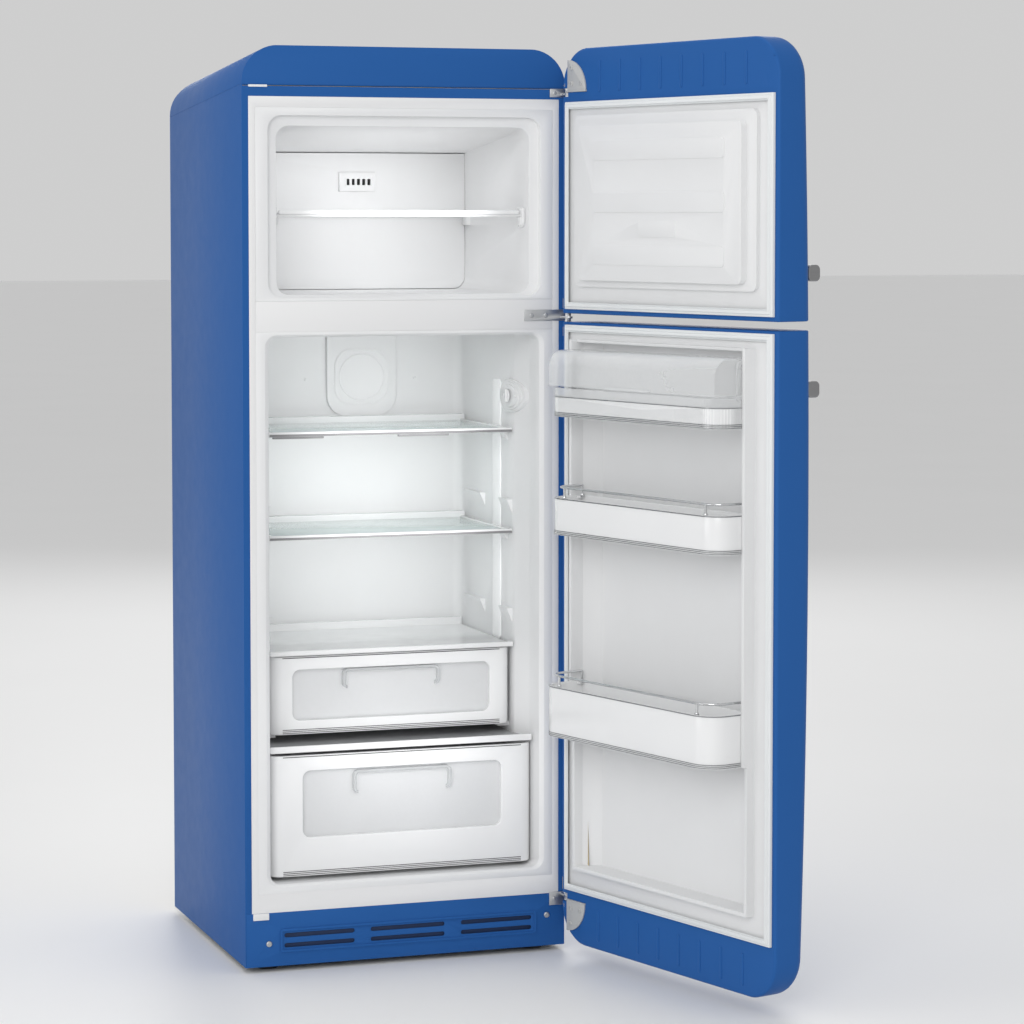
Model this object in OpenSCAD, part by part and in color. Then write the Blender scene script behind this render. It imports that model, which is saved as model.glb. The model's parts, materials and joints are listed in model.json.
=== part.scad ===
// Top freezer refrigerator with a rounded painted cabinet, shown with both doors open.
// Origin: floor level, at the middle of the cabinet's footprint. The doors face -Y.

/* [Cabinet] */
// Width across the side panels
cabinet_w = 600; // [590:1:620]
// Depth of the cabinet without its doors
cabinet_d = 550; // [545:1:575]
// Gap between the floor and the cabinet's bottom edge
floor_gap = 10; // [8:1:14]
// Height of the side panels at the front, from the floor
seam_h = 1570; // [1565:1:1580]
// Fall of the top from front to back
top_fall = 43; // [30:1:50]
// Height of the rounded cover above the seam
cover_h = 68; // [60:1:72]
// Radius of the cover's side corners
cover_r = 66; // [50:1:66]

/* [Openings] */
// Underside of the freezer opening
freezer_z0 = 1201; // [1198:1:1205]
// Top of the freezer opening
freezer_z1 = 1498; // [1490:1:1502]
// Width of the freezer space
freezer_w = 470; // [466:1:474]
// Floor of the fridge opening
fridge_z0 = 155; // [152:1:158]
// Top of the fridge opening
fridge_z1 = 1127; // [1120:1:1130]
// Width of the fridge space behind its mouth
fridge_w = 468; // [464:1:470]
// Depth of the fridge space
fridge_depth = 405; // [400:1:410]

/* [Doors] */
// Angle at which both doors stand open
door_open = 106; // [0:1:110]
// Distance from the hinge axis to the cabinet's front
hinge_gap = 22; // [22:1:24]
// Door thickness from the hinge axis to the front at the door's ends
door_front = 52; // [50:1:56]
// Outward bow of the door fronts at mid height
door_bow = 15; // [5:1:18]
// Radius of the outer corners of the doors
door_corner_r = 70; // [50:1:75]
// Height of the gap between the doors
door_gap = 15; // [14:1:18]
// Underside of the lower door
door_z0 = 24; // [20:1:28]
// Underside of the upper door
door_split = 1165; // [1163:1:1167]

/* [Interior] */
// Height of the upper shelf's glass
upper_shelf_z = 947; // [935:1:955]
// Height of the lower shelf's glass
lower_shelf_z = 761; // [755:1:764]
// Number of fins on the evaporator
fin_count = 14; // [8:1:18]
// Number of long wires in the freezer shelf
shelf_wires = 19; // [11:2:21]
// Number of runs in the condenser tube
condenser_runs = 12; // [8:2:14]
// Number of wires across the condenser
condenser_wire_count = 34; // [20:1:40]

/* [Hidden] */

$fn = 48;
body_blue = "#2a5a9c";
liner_white = "#e6e6e6";
clear_plastic = [0.85, 0.9, 0.92, 0.5];
half_w = cabinet_w / 2;
front_y = -cabinet_d / 2;
back_y = cabinet_d / 2;
sheet = 1.5;                          // painted steel
skin = 3;                             // moulded liner
slope = atan(top_fall / cabinet_d);
total_h = seam_h + cover_h;
hinge_x = half_w;
hinge_y = front_y - hinge_gap;
pin_r = 3.5;
bore_r = 3.55;
frame_z0 = 106;                       // white frame, bottom and top
frame_z1 = 1549;
frame_x = half_w - 12;
face_x = half_w - 24;                 // liner flanges and mullion cover
mullion_z0 = 1136;
mullion_z1 = 1190;
liner_top = 1530;
liner_bottom = 140;
hump_y = 100;                         // step in the fridge liner over the compressor bay
hump_z = 345;
bay_y = 145;                          // compressor bay
bay_z = 300;
fridge_back = front_y + fridge_depth;
freezer_back = front_y + 455;
cover_y = front_y + 380;              // face of the evaporator cover
shelf_front = front_y + 88;
crisper_z = 550.4;                    // underside of the shelf over the drawers
upper_y = front_y + 92;               // drawer fronts
lower_y = front_y + 24;
lower_half = 246;
wall_x = fridge_w / 2;

// ---- outlines and plain shapes ----

function arc(cx, cy, r, a0, a1, n = 8) =
    [for (i = [0:n]) let (a = a0 + (a1 - a0) * i / n) [cx + r * cos(a), cy + r * sin(a)]];

function round_box(x0, x1, y0, y1, r, n = 8) = concat(
    arc(x1 - r, y1 - r, r, 0, 90, n), arc(x0 + r, y1 - r, r, 90, 180, n),
    arc(x0 + r, y0 + r, r, 180, 270, n), arc(x1 - r, y0 + r, r, 270, 360, n));

// box given by its lowest and highest corners
module box(x0, x1, y0, y1, z0, z1) {
    translate([x0, y0, z0]) cube([x1 - x0, y1 - y0, z1 - z0]);
}

// outline in X and Z, carried along Y
module along_y(points, y0, y1) {
    translate([0, y1, 0]) rotate([90, 0, 0]) linear_extrude(y1 - y0) polygon(points);
}

// outline in Y and Z, carried along X
module along_x(points, x0, x1) {
    translate([x0, 0, 0]) rotate([90, 0, 90]) linear_extrude(x1 - x0) polygon(points);
}

// outline in X and Y, carried along Z
module along_z(points, z0, z1) {
    translate([0, 0, z0]) linear_extrude(z1 - z0) polygon(points);
}

module rod_x(x0, x1, y, z, r) {
    translate([x0, y, z]) rotate([0, 90, 0]) cylinder(r = r, h = x1 - x0);
}

module rod_y(x, y0, y1, z, r) {
    translate([x, y1, z]) rotate([90, 0, 0]) cylinder(r = r, h = y1 - y0);
}

module rod_z(x, y, z0, z1, r) {
    translate([x, y, z0]) cylinder(r = r, h = z1 - z0);
}

module both_sides() {
    children();
    mirror([1, 0, 0]) children();
}

// ---- cabinet ----

// side view of the cabinet below its cover, grown outwards by g
function side_outline(z0, g = 0) = [
    [front_y - g, z0], [back_y + g, z0],
    [back_y + g, seam_h - top_fall + g], [front_y - g, seam_h + g]];

module cabinet_shell() color(body_blue) {
    flange = 12;
    // sides
    both_sides() along_x(side_outline(floor_gap), half_w - sheet, half_w);
    // sloping top sheet
    difference() {
        along_x(side_outline(floor_gap), -half_w + sheet, half_w - sheet);
        translate([0, 0, -sheet]) along_x(side_outline(-200), -half_w, half_w);
    }
    // folded front flanges and the strip above the frame
    both_sides() box(frame_x, half_w - sheet, front_y, front_y + sheet, floor_gap + 96,
        frame_z1);
    box(-half_w + sheet, half_w - sheet, front_y, front_y + sheet, frame_z1, seam_h - 2 * sheet);
}

// the rounded body of the cover, smaller by g all round
module cover_body(g) {
    arch = concat([[half_w - g, -80], [half_w - g, 0]],
        arc(half_w - cover_r, cover_h - cover_r, cover_r - g, 0, 90, 12),
        arc(-half_w + cover_r, cover_h - cover_r, cover_r - g, 90, 180, 12),
        [[-half_w + g, 0], [-half_w + g, -80]]);
    side = concat([[front_y + g, seam_h - 200], [back_y - g, seam_h - 200]],
        arc(back_y - 42, seam_h + cover_h - top_fall - 45, 42 - g, 0, 75, 8),
        [[front_y + g, seam_h + cover_h - g]]);
    intersection() {
        translate([0, front_y, seam_h]) rotate([-slope, 0, 0])
            along_y(arch, -40, cabinet_d + 60);
        along_x(side, -half_w, half_w);
    }
}

module top_cover() color(body_blue) {
    difference() {
        cover_body(0);
        cover_body(3);
        along_x(side_outline(0), -half_w - 1, half_w + 1);
    }
}

module front_frame() color(liner_white) {
    difference() {
        box(-frame_x, frame_x, front_y, front_y + sheet, frame_z0, frame_z1);
        box(-face_x, face_x, front_y - 1, front_y + 5, liner_bottom, liner_top);
    }
}

module back_panel() color("silver") {
    box(-half_w + sheet, half_w - sheet, back_y - sheet, back_y, bay_z, seam_h - top_fall - 2 * sheet);
    // standoffs that carry the condenser
    for (x = [-200, 200], z = [420, 1400])
        box(x - 8, x + 8, back_y, back_y + 12, z - 10, z + 10);
}

// freezer space: straight walls, and a ceiling that falls towards the back
module freezer_space(g) {
    side = [[front_y - 20, freezer_z0 - g], [freezer_back + g, freezer_z0 - g],
        [freezer_back + g, freezer_z1 - 46 + g], [front_y + 20, freezer_z1 + g],
        [front_y - 20, freezer_z1 + g]];
    intersection() {
        along_x(side, -freezer_w / 2 - g, freezer_w / 2 + g);
        along_y(round_box(-freezer_w / 2 - g, freezer_w / 2 + g, freezer_z0 - g,
            freezer_z1 + g, 23 + g), front_y - 20, freezer_back + g);
    }
}

// shallow wider step at the mouth of the freezer
module freezer_mouth(g, depth) {
    w = freezer_w / 2 + 18 + g;
    along_y(round_box(-w, w, freezer_z0 - 5 - g, freezer_z1 + 18 + g, 26), front_y - 20,
        front_y + depth);
}

// fridge space: flared mouth with a chamfered lip, and a step over the compressor bay
module fridge_space(g) {
    mouth = wall_x + 18.5;
    lip = 7.5;
    corner = 18;
    plan = concat([[-mouth - g, front_y - 20], [mouth + g, front_y - 20], [mouth + g, front_y + 5],
        [mouth - 3 + g, front_y + 50], [wall_x + g, front_y + 90]],
        arc(wall_x - corner, fridge_back - corner, corner + g, 0, 90),
        arc(-wall_x + corner, fridge_back - corner, corner + g, 90, 180),
        [[-wall_x - g, front_y + 90], [-mouth + 3 - g, front_y + 50], [-mouth - g, front_y + 5]]);
    side = [[front_y - 30, fridge_z0 - g], [hump_y + g, fridge_z0 - g],
        [hump_y + g, hump_z - g], [fridge_back + g + 1, hump_z - g],
        [fridge_back + g + 1, fridge_z1 + g], [front_y - 30, fridge_z1 + g]];
    intersection() {
        along_z(plan, fridge_z0 - 30, fridge_z1 + 30);
        along_y(round_box(-mouth - g, mouth + g, fridge_z0 - g, fridge_z1 + g, corner),
            front_y - 20, fridge_back + g);
        along_x(side, -mouth - g - 1, mouth + g + 1);
    }
    hull() {
        along_y(round_box(-mouth - lip - g, mouth + lip + g, fridge_z0 - 4 - g, fridge_z1 + 4 + g,
            corner + 4), front_y - 20, front_y);
        along_y(round_box(-mouth - g, mouth + g, fridge_z0 - g, fridge_z1 + g, corner),
            front_y, front_y + 5);
    }
}

module foam_insulation() color("#f0e2b0") {
    foam_front = front_y + 2;
    outline = [[foam_front, 108], [bay_y, 108], [bay_y, bay_z], [back_y - sheet, bay_z],
        [back_y - sheet, seam_h - top_fall - sheet - 1], [foam_front, seam_h - sheet - 1]];
    difference() {
        along_x(outline, -half_w + sheet, half_w - sheet);
        freezer_space(skin);
        freezer_mouth(skin, 12 + skin);
        fridge_space(skin);
    }
}

module freezer_liner() color(liner_white) {
    difference() {
        union() {
            box(-face_x, face_x, front_y, front_y + 2, mullion_z1, liner_top);
            intersection() {
                union() {
                    freezer_space(skin);
                    freezer_mouth(skin, 12 + skin);
                }
                box(-half_w, half_w, front_y + 2, back_y, 0, 2000);
            }
        }
        freezer_space(0);
        freezer_mouth(0, 12);
    }
    // lugs for the wire shelf
    both_sides() box(freezer_w / 2 - 9, freezer_w / 2 + 1, front_y + 34, front_y + 58, 1323, 1338);
    both_sides() box(freezer_w / 2 - 9, freezer_w / 2 + 1, cover_y - 34, cover_y - 10, 1323, 1338);
}

// three-cornered shelf lug on a side wall, with its flat top at z
module wall_lug(y0, y1, z, h = 14) {
    along_y([[wall_x - 11, z], [wall_x + 1, z], [wall_x + 1, z - h], [wall_x, z - h]], y0, y1);
}

module fridge_liner() color(liner_white) {
    difference() {
        union() {
            box(-face_x, face_x, front_y, front_y + 2, liner_bottom, mullion_z0);
            intersection() {
                fridge_space(skin);
                box(-half_w, half_w, front_y + 2, back_y, 0, 2000);
            }
        }
        fridge_space(0);
    }
    both_sides() {
        for (z = [upper_shelf_z - 4.4, lower_shelf_z - 4.4, crisper_z - 0.4]) {
            wall_lug(front_y + 124, front_y + 150, z);
            wall_lug(front_y + 257, front_y + 364, z);
        }
        // spare heights, deeper
        for (z = [820, 619]) {
            wall_lug(front_y + 100, front_y + 150, z, 26);
            wall_lug(front_y + 257, front_y + 364, z, 26);
        }
        // runners under the glass over the lower drawer and under the upper drawer
        wall_lug(front_y + 96, front_y + 385, 385.5);
        box(wall_x - 22, wall_x + 1, front_y + 120, front_y + 385, 399, 406.4);
        // rails on the floor for the lower drawer
        box(170, 190, front_y + 60, front_y + 360, fridge_z0 - 1, 162.6);
    }
}

module mullion_cover() color(liner_white) {
    box(-face_x, face_x, front_y, front_y + 2, mullion_z0, mullion_z1);
}

// ---- cold air ----

module evaporator_cover() color(liner_white) {
    slot = [for (i = [0:4]) 3 + i * 10];
    half = freezer_w / 2 - 0.5;
    cover_top = freezer_z1 - 40;
    difference() {
        union() {
            along_y(concat([[half, cover_top], [-half, cover_top]],
                arc(-half + 23, freezer_z0 + 24, 23, 180, 270), arc(half - 23, freezer_z0 + 24, 23, 270, 360)),
                cover_y, cover_y + 3);
            box(-16, 56, cover_y - 3, cover_y, 1386, 1422);
        }
        for (x = slot) box(x - 3.2, x + 3.2, cover_y - 9, cover_y + 9, 1398, 1410);
    }
}

module evaporator() color("#b8bcc0") {
    for (i = [0:fin_count - 1]) {
        x = -190 + 380 * i / (fin_count - 1);
        box(x - 1, x + 1, cover_y + 15, cover_y + 60, 1222, 1340);
    }
    for (y = [cover_y + 26, cover_y + 49], z = [1240, 1270, 1300, 1330])
        rod_x(-205, 205, y, z, 4);
}

fan_x = 23;
fan_z = 1394;
module fan_motor() color("#3a3a3c") {
    rod_y(fan_x, cover_y + 34, cover_y + 60, fan_z, 21);
    rod_y(fan_x, cover_y + 12, cover_y + 34, fan_z, 2);
    // bracket to the liner's back wall
    for (a = [-1, 1]) box(fan_x + a * 30 - 14, fan_x + a * 30 + 14, cover_y + 44, cover_y + 75,
        fan_z - 6, fan_z + 6);
}

module fan_blade() color("#dadada") {
    hub_y0 = cover_y + 14;
    hub_y1 = cover_y + 32;
    difference() {
        union() {
            rod_y(fan_x, hub_y0, hub_y1, fan_z, 11);
            for (a = [0:72:359]) translate([fan_x, hub_y0 + 9, fan_z]) rotate([0, a, 0])
                rotate([24, 0, 0]) translate([7, -1, -7]) cube([31, 2, 14]);
        }
        rod_y(fan_x, hub_y0 - 5, hub_y1 + 5, fan_z, 2.05);
    }
}

module duct_cover() color(liner_white) {
    cx = 33;
    half = 68;
    top = 1112;
    face = fridge_back - 10;
    along_y(concat([[cx + half, top], [cx - half, top]],
        arc(cx - half + 40, 1000, 40, 180, 270), arc(cx + half - 40, 1000, 40, 270, 360)),
        face, fridge_back);
    difference() {
        rod_y(cx, face - 4, face, 1031, 52);
        rod_y(cx, face - 5, face + 1, 1031, 47);
    }
    rod_y(cx, face - 3, face, 1031, 46.5);
}

// ---- controls and light on the right wall ----

knob_y = front_y + 102;
knob_z = 1011;
bezel_x = wall_x - 7;                 // face of the oval bezel
module control_housing() color(liner_white) {
    intersection() {
        difference() {
            along_x([for (a = [0 : 10 : 350]) [knob_y + 50 * cos(a), knob_z + 31 * sin(a)]],
                bezel_x - 1, wall_x + 20);
            rod_x(bezel_x - 5, bezel_x + 5, knob_y, knob_z, 3.05);
        }
        // a plate of even thickness that follows the wall
        difference() {
            fridge_space(-0.1);
            fridge_space(-7);
        }
    }
}

// low round knob with a grip bar
module control_knob() color("#f4f4f4") {
    rod_x(bezel_x - 4.4, bezel_x - 0.4, knob_y, knob_z, 13);
    rod_x(bezel_x - 1, bezel_x + 4.5, knob_y, knob_z, 3);
    box(bezel_x - 7, bezel_x - 4, knob_y - 3, knob_y + 3, knob_z - 12, knob_z + 12);
}

module light_column() color("#ffffff") {
    along_x(round_box(front_y + 162, front_y + 206, 555, 1038, 8), wall_x - 3, wall_x);
}

// ---- base ----

foot_x = 250;
foot_y = front_y + 42;
roller_x = 258;
roller_y = back_y - 38;
roller_r = 15;
module base_tray() color("#9aa0a4") {
    difference() {
        union() {
            // bottom plate and side rails
            box(-half_w + sheet, half_w - sheet, front_y + 4, bay_y, 105, 108);
            both_sides() box(half_w - 12, half_w - sheet, front_y + 4, back_y - 4, floor_gap + 2, 105);
            // front and middle cross rails
            box(-half_w + 12, half_w - 12, front_y + 20, front_y + 23, 60, 105);
            box(-half_w + 12, half_w - 12, bay_y - 3, bay_y, 33, 105);
            // compressor shelf
            box(-half_w + 12, half_w - 12, bay_y - 3, back_y - 60, 30, 33);
            both_sides() rod_z(foot_x, foot_y, 34, 105, 13);
            // cheeks that hold the rollers
            both_sides() for (x = [roller_x - 15, roller_x + 12])
                box(x, x + 3, roller_y - 16, roller_y + 16, 6, 50);
            both_sides() box(roller_x - 15, roller_x + 31, roller_y - 16, roller_y + 16, 47, 50);
            // the rollers' axles
            both_sides() rod_x(roller_x - 15, roller_x + 15, roller_y, roller_r, 4);
            // rear cross strip under the bay
            box(-half_w + 12, half_w - 12, back_y - 63, back_y - 60, 30, 44);
        }
        both_sides() rod_z(foot_x, foot_y, 20, 90, 5.05);
    }
}

// a plate with two rows of long round-ended air slots
module kick_plate() color(body_blue) {
    slot_x0 = [-229, -69, 101];
    slot_x1 = [-99, 70, 236];
    difference() {
        union() {
            box(-half_w + sheet, half_w - sheet, front_y, front_y + 2.5, floor_gap, frame_z0);
            // raised rim round the slots
            difference() {
                along_y(round_box(-237, 245, 34, 76, 6), front_y - 3, front_y);
                along_y(round_box(-233, 241, 38, 72, 4), front_y - 4, front_y + 1);
            }
        }
        for (i = [0:2], z = [46, 64])
            along_y(round_box(slot_x0[i], slot_x1[i], z - 4, z + 4, 3.9), front_y - 5,
                front_y + 5);
    }
}

// domed cross-recess screw head on the front face
module face_screw(x, z, y = front_y) {
    difference() {
        translate([x, y, z]) rotate([90, 0, 0]) cylinder(r1 = 5.5, r2 = 4, h = 2.4);
        box(x - 3, x + 3, y - 3, y - 1.2, z - 0.6, z + 0.6);
        box(x - 0.6, x + 0.6, y - 3, y - 1.2, z - 3, z + 3);
    }
}

module cabinet_screws() color("#c8cacc") {
    for (x = [-260, 262]) face_screw(x, 58);
    for (x = [235, 265]) face_screw(x, 1161, front_y - 2.5);
    face_screw(279, 1563.5, front_y - 2.5);
    face_screw(279, 92, front_y - 2.5);
}

// ---- hinges on the cabinet ----

// plate on the front face with an arm out to the hinge axis
module bracket(x0, z0, z1, arm_z) {
    box(x0, half_w, front_y - 2.5, front_y, z0, z1);
    difference() {
        union() {
            box(hinge_x - 9, hinge_x + 4, hinge_y, front_y - 2.5, arm_z, arm_z + 4);
            rod_z(hinge_x, hinge_y, arm_z, arm_z + 4, 9);
        }
        box(half_w + 4, half_w + 20, hinge_y - 20, front_y, arm_z - 1, arm_z + 6);
    }
}

module top_hinge_bracket() color("#c9cbcd") {
    bracket(270, 1553, 1568, 1556);
    rod_z(hinge_x, hinge_y, 1560, 1584, pin_r);
}

module middle_hinge_bracket() color("#c9cbcd") {
    bracket(222, 1151, 1171, 1155.5);
    rod_z(hinge_x, hinge_y, 1159.5, 1180, pin_r);
    rod_z(hinge_x, hinge_y, 1135, 1155.5, pin_r);
}

module bottom_hinge_bracket() color("#c9cbcd") {
    bracket(270, 84, 108, 103);
    rod_z(hinge_x, hinge_y, 80, 103, pin_r);
    rod_z(hinge_x, hinge_y, 107, 128, pin_r);
}

module hinge_hole_caps() color(liner_white) {
    box(-half_w + 14, -half_w + 43, front_y - 2, front_y, 94, 106);
    box(-half_w + 12, -half_w + 46, front_y - 2, front_y, 1565, 1569);
}

// ---- machinery at the back ----

comp_x = -70;
comp_y = 208;
module compressor() color("#232427") {
    translate([comp_x, comp_y, 0]) {
        translate([0, 0, 58]) rotate_extrude() polygon(concat([[0, 0], [56, 0]],
            arc(42, 18, 18, -50, 0, 4), [[60, 84]], arc(20, 84, 40, 0, 90, 8), [[0, 124]]));
        translate([-70, -36, 45]) cube([140, 72, 13]);
        translate([36, 30, 92]) rotate([0, 90, 0]) cylinder(r = 4, h = 46);
    }
}

module compressor_mounts() color("#151515") {
    for (x = [-58, 58], y = [-26, 26]) rod_z(comp_x + x, comp_y + y, 33, 45, 9);
}

module drip_tray() color("#e8e8e8") {
    difference() {
        box(comp_x - 90, comp_x + 60, comp_y - 50, comp_y + 50, 184, 214);
        box(comp_x - 87, comp_x + 57, comp_y - 47, comp_y + 47, 187, 220);
    }
}

// junction box with the mains inlet in its rear face
module terminal_box() color("#1d1d1f") {
    difference() {
        union() {
            box(90, 180, bay_y + 2, bay_y + 66, 33, 103);
            rod_y(135, bay_y + 66, bay_y + 78, 68, 14);
        }
        rod_y(135, bay_y + 56, bay_y + 84, 68, 5);
    }
}

coil_y = back_y + 15;
coil_x = 225;
coil_z0 = 395;
coil_step = 92;
module condenser_tube() color("#1b1b1c") {
    for (i = [0:condenser_runs - 1]) {
        z = coil_z0 + i * coil_step;
        rod_x(-coil_x, coil_x, coil_y, z, 2.6);
        for (side = [-1, 1]) translate([side * coil_x, coil_y, z]) sphere(r = 3.2);
        // the runs are joined at alternate ends
        if (i < condenser_runs - 1)
            rod_z((i % 2 == 0) ? coil_x : -coil_x, coil_y, z, z + coil_step, 2.6);
    }
    // lead down to the compressor
    rod_z(-coil_x, coil_y, 150, coil_z0, 2.6);
}

module condenser_wires() color("#1b1b1c") {
    top = coil_z0 + (condenser_runs - 1) * coil_step + 15;
    for (i = [0:condenser_wire_count - 1]) {
        x = -212 + 424 * i / (condenser_wire_count - 1);
        rod_z(x, coil_y + 3.6, coil_z0 - 15, top, 0.9);
    }
}

// ---- feet and rollers ----

module foot(x) color("#202022") {
    rod_z(x, foot_y, 0, 9, 19);
    rod_z(x, foot_y, 9, 33, 8);
    rod_z(x, foot_y, 33, 84, 5);
}
module left_foot() foot(-foot_x);
module right_foot() foot(foot_x);

module roller(x) color("#2b2b2d") {
    difference() {
        rod_x(x - 11, x + 11, roller_y, roller_r, roller_r);
        rod_x(x - 12, x + 12, roller_y, roller_r, 4.05);
    }
}
module left_roller() roller(-roller_x);
module right_roller() roller(roller_x);

// ---- shelves ----

shelf_half = wall_x - 4;
module shelf_glass(z) color([0.8, 0.92, 0.9, 0.45]) {
    box(-shelf_half + 7, shelf_half - 7, shelf_front + 8, front_y + 376, z, z + 4);
}

module shelf_trim(z) color("#c9cbcc") {
    difference() {
        union() {
            box(-shelf_half, shelf_half, shelf_front, shelf_front + 14, z - 2, z + 6);
            box(-shelf_half, shelf_half, front_y + 368, front_y + 384, z - 4, z + 15);
            both_sides() box(shelf_half - 10, shelf_half, shelf_front + 14, front_y + 368, z - 4, z + 6);
        }
        box(-shelf_half + 7, shelf_half - 7, shelf_front + 8, front_y + 376, z, z + 4);
    }
}
module upper_shelf_glass() shelf_glass(upper_shelf_z);
module upper_shelf_trim() shelf_trim(upper_shelf_z);
module lower_shelf_glass() shelf_glass(lower_shelf_z);
module lower_shelf_trim() shelf_trim(lower_shelf_z);

module crisper_shelf() color(liner_white) {
    z = crisper_z;
    box(-shelf_half, shelf_half, shelf_front, front_y + 394, z, z + 6);
    box(-shelf_half, shelf_half, shelf_front - 4, shelf_front, z, z + 9);
    box(-shelf_half, shelf_half, front_y + 386, front_y + 394, z + 6, z + 20);
}

module drawer_cover() color([0.8, 0.85, 0.85, 0.6]) {
    lip_y = lower_y + 4;
    along_z([[-lower_half, lip_y + 4], [lower_half, lip_y + 4], [lower_half, lip_y + 12],
        [shelf_half, front_y + 90], [shelf_half, front_y + 392], [-shelf_half, front_y + 392],
        [-shelf_half, front_y + 90], [-lower_half, lip_y + 12]], 386, 391);
    box(-lower_half, lower_half, lip_y, lip_y + 4, 385, 396);
}

module freezer_shelf() color("#f0f0f0") {
    z = 1341;
    back = cover_y - 8;
    for (y = [front_y + 42, front_y + 46 + (cover_y - front_y) / 2, back - 8])
        rod_x(-freezer_w / 2 + 2, freezer_w / 2 - 2, y, z, 2.6);
    for (i = [0:shelf_wires - 1]) {
        x = -216 + 432 * i / (shelf_wires - 1);
        rod_y(x, front_y + 40, back, z + 3.2, 1.5);
    }
    // front rail
    rod_x(-228, 228, front_y + 38, z + 6, 3);
}

// ---- drawers ----

// front panel that turns back round its two upright corners
module drawer_front(half, y0, z0, z1, panel) {
    r = 22;
    intersection() {
        difference() {
            along_z(concat([[half, y0 + r + 3], [-half, y0 + r + 3]],
                arc(-half + r, y0 + r, r, 180, 270), arc(half - r, y0 + r, r, 270, 360)), z0, z1);
            along_z(concat([[half - panel, y0 + r + 4], [-half + panel, y0 + r + 4]],
                arc(-half + r, y0 + r, r - panel, 180, 270),
                arc(half - r, y0 + r, r - panel, 270, 360)), z0 - 1, z1 + 1);
        }
        along_y(concat([[half, z1], [-half, z1]], arc(-half + 14, z0 + 14, 14, 180, 270),
            arc(half - 14, z0 + 14, 14, 270, 360)), y0, y0 + r + 3);
    }
}

// open-topped tray with a front panel that has a window
module drawer(half, box_half, y0, y1, z0, z1, win_z0, win_z1) {
    panel = 10;
    difference() {
        union() {
            drawer_front(half, y0, z0, z1, panel);
            box(-box_half, box_half, y0 + panel, y1, z0 + 4, z1 - 6);
        }
        box(-box_half + 3, box_half - 3, y0 + panel + 14, y1 - 3, z0 + 7, z1 + 1);
        // pocket round the window
        along_y(round_box(-187, 187, win_z0, win_z1, 14), y0 - 1, y0 + panel + 11);
    }
}

module drawer_handle(y0, z0, z1) color(clear_plastic) {
    difference() {
        along_y(round_box(-92, 92, z0, z1, 10), y0 + 1, y0 + 21);
        along_y(round_box(-84, 84, z0 - 12, z1 - 8, 8), y0 - 1, y0 + 17);
    }
}

module upper_drawer() color(liner_white)
    drawer(228, 220, upper_y, front_y + 388, 407, 548, 432, 524);
module upper_drawer_handle() drawer_handle(upper_y, 486, 522);
module lower_drawer() color(liner_white)
    drawer(lower_half, 222, lower_y, front_y + 362, 163, 380, 232, 352);
module lower_drawer_handle() drawer_handle(lower_y, 306, 348);

// ---- doors, drawn closed and then turned to where they stand ----

door_x0 = -half_w - 3;
door_x1 = half_w + 5;
door_back = hinge_y + 12;             // inner face of the painted panel
upper_z1 = total_h;
lower_z1 = door_split - door_gap;
gasket_face = front_y - 0.4;

module stand_open() {
    translate([hinge_x, hinge_y, 0]) rotate([0, 0, door_open])
        translate([-hinge_x, -hinge_y, 0]) children();
}

// one bowed block that both door fronts belong to, smaller by g
module door_block(z0, z1, g) {
    mid = (door_z0 + total_h) / 2;
    tall = (total_h - door_z0) / 2;
    bow_r = (tall * tall + door_bow * door_bow) / (2 * door_bow);
    end_y = hinge_y - door_front;
    bow = [for (i = [0:12]) let (z = z0 + g + (z1 - z0 - 2 * g) * i / 12)
        [end_y - door_bow + bow_r - sqrt(bow_r * bow_r - (z - mid) * (z - mid)) + g, z]];
    top = (z1 > total_h - 1);
    r = door_corner_r;
    lo_x = door_x0 + g;
    hi_x = door_x1 - g;
    lo_z = z0 + g;
    hi_z = z1 - g;
    face = top ? concat([[hi_x, lo_z]], arc(hi_x - r + g, hi_z - r + g, r - g, 0, 90),
            arc(lo_x + r - g, hi_z - r + g, r - g, 90, 180), [[lo_x, lo_z]])
        : concat([[hi_x, hi_z], [lo_x, hi_z]], arc(lo_x + r - g, lo_z + r - g, r - g, 180, 270),
            arc(hi_x - r + g, lo_z + r - g, r - g, 270, 360));
    edge = 22 - g;
    fy = end_y - door_bow + g;
    plan = concat([[hi_x, door_back - g], [lo_x, door_back - g]],
        arc(lo_x + edge, fy + edge, edge, 180, 270, 6), arc(hi_x - edge, fy + edge, edge, 270, 360, 6));
    intersection() {
        along_y(face, fy - 1, door_back - g);
        along_z(plan, lo_z, hi_z);
        along_x(concat(bow, [[door_back - g, hi_z], [door_back - g, lo_z]]), lo_x - 1, hi_x + 1);
    }
}

// space for the hinge pin and the bracket's arm at the door's corner
module hinge_notch(z0, z1) {
    box(hinge_x - 13, door_x1 + 5, hinge_y - 13, door_back + 5, z0, z1);
}

// slot for the flange of a hinge plate, and pocket for an edge bush
module flange_slot(z) {
    box(hinge_x - 69, hinge_x - 9, hinge_y - 8, door_back + 1, z - 0.5, z + 3.5);
}
module bush_pocket(z) {
    box(hinge_x - 20, hinge_x, hinge_y - 10, hinge_y + 10, z - 0.5, z + 3.5);
}

// bores for the handle's posts
handle_x0 = -half_w + 48;
handle_x1 = handle_x0 + 220;
module handle_bores(z) {
    for (x = [handle_x0 + 14, handle_x1 - 14]) rod_y(x, hinge_y - 80, hinge_y - 57.5, z, 11.1);
}

module door_panel(z0, z1, gz0, gz1, rib_z0, rib_z1) {
    difference() {
        union() {
            door_block(z0, z1, 0);
            for (i = [0:7]) {
                x = half_w - 107 - i * 58.5;
                box(x - 1.5, x + 1.5, door_back, door_back + 2, rib_z0, rib_z1);
            }
        }
        door_block(z0, z1, 2.5);
        box(-half_w + 22, half_w - 26, door_back - 10, door_back + 10, gz0 + 12, gz1 - 12);
    }
}

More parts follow.
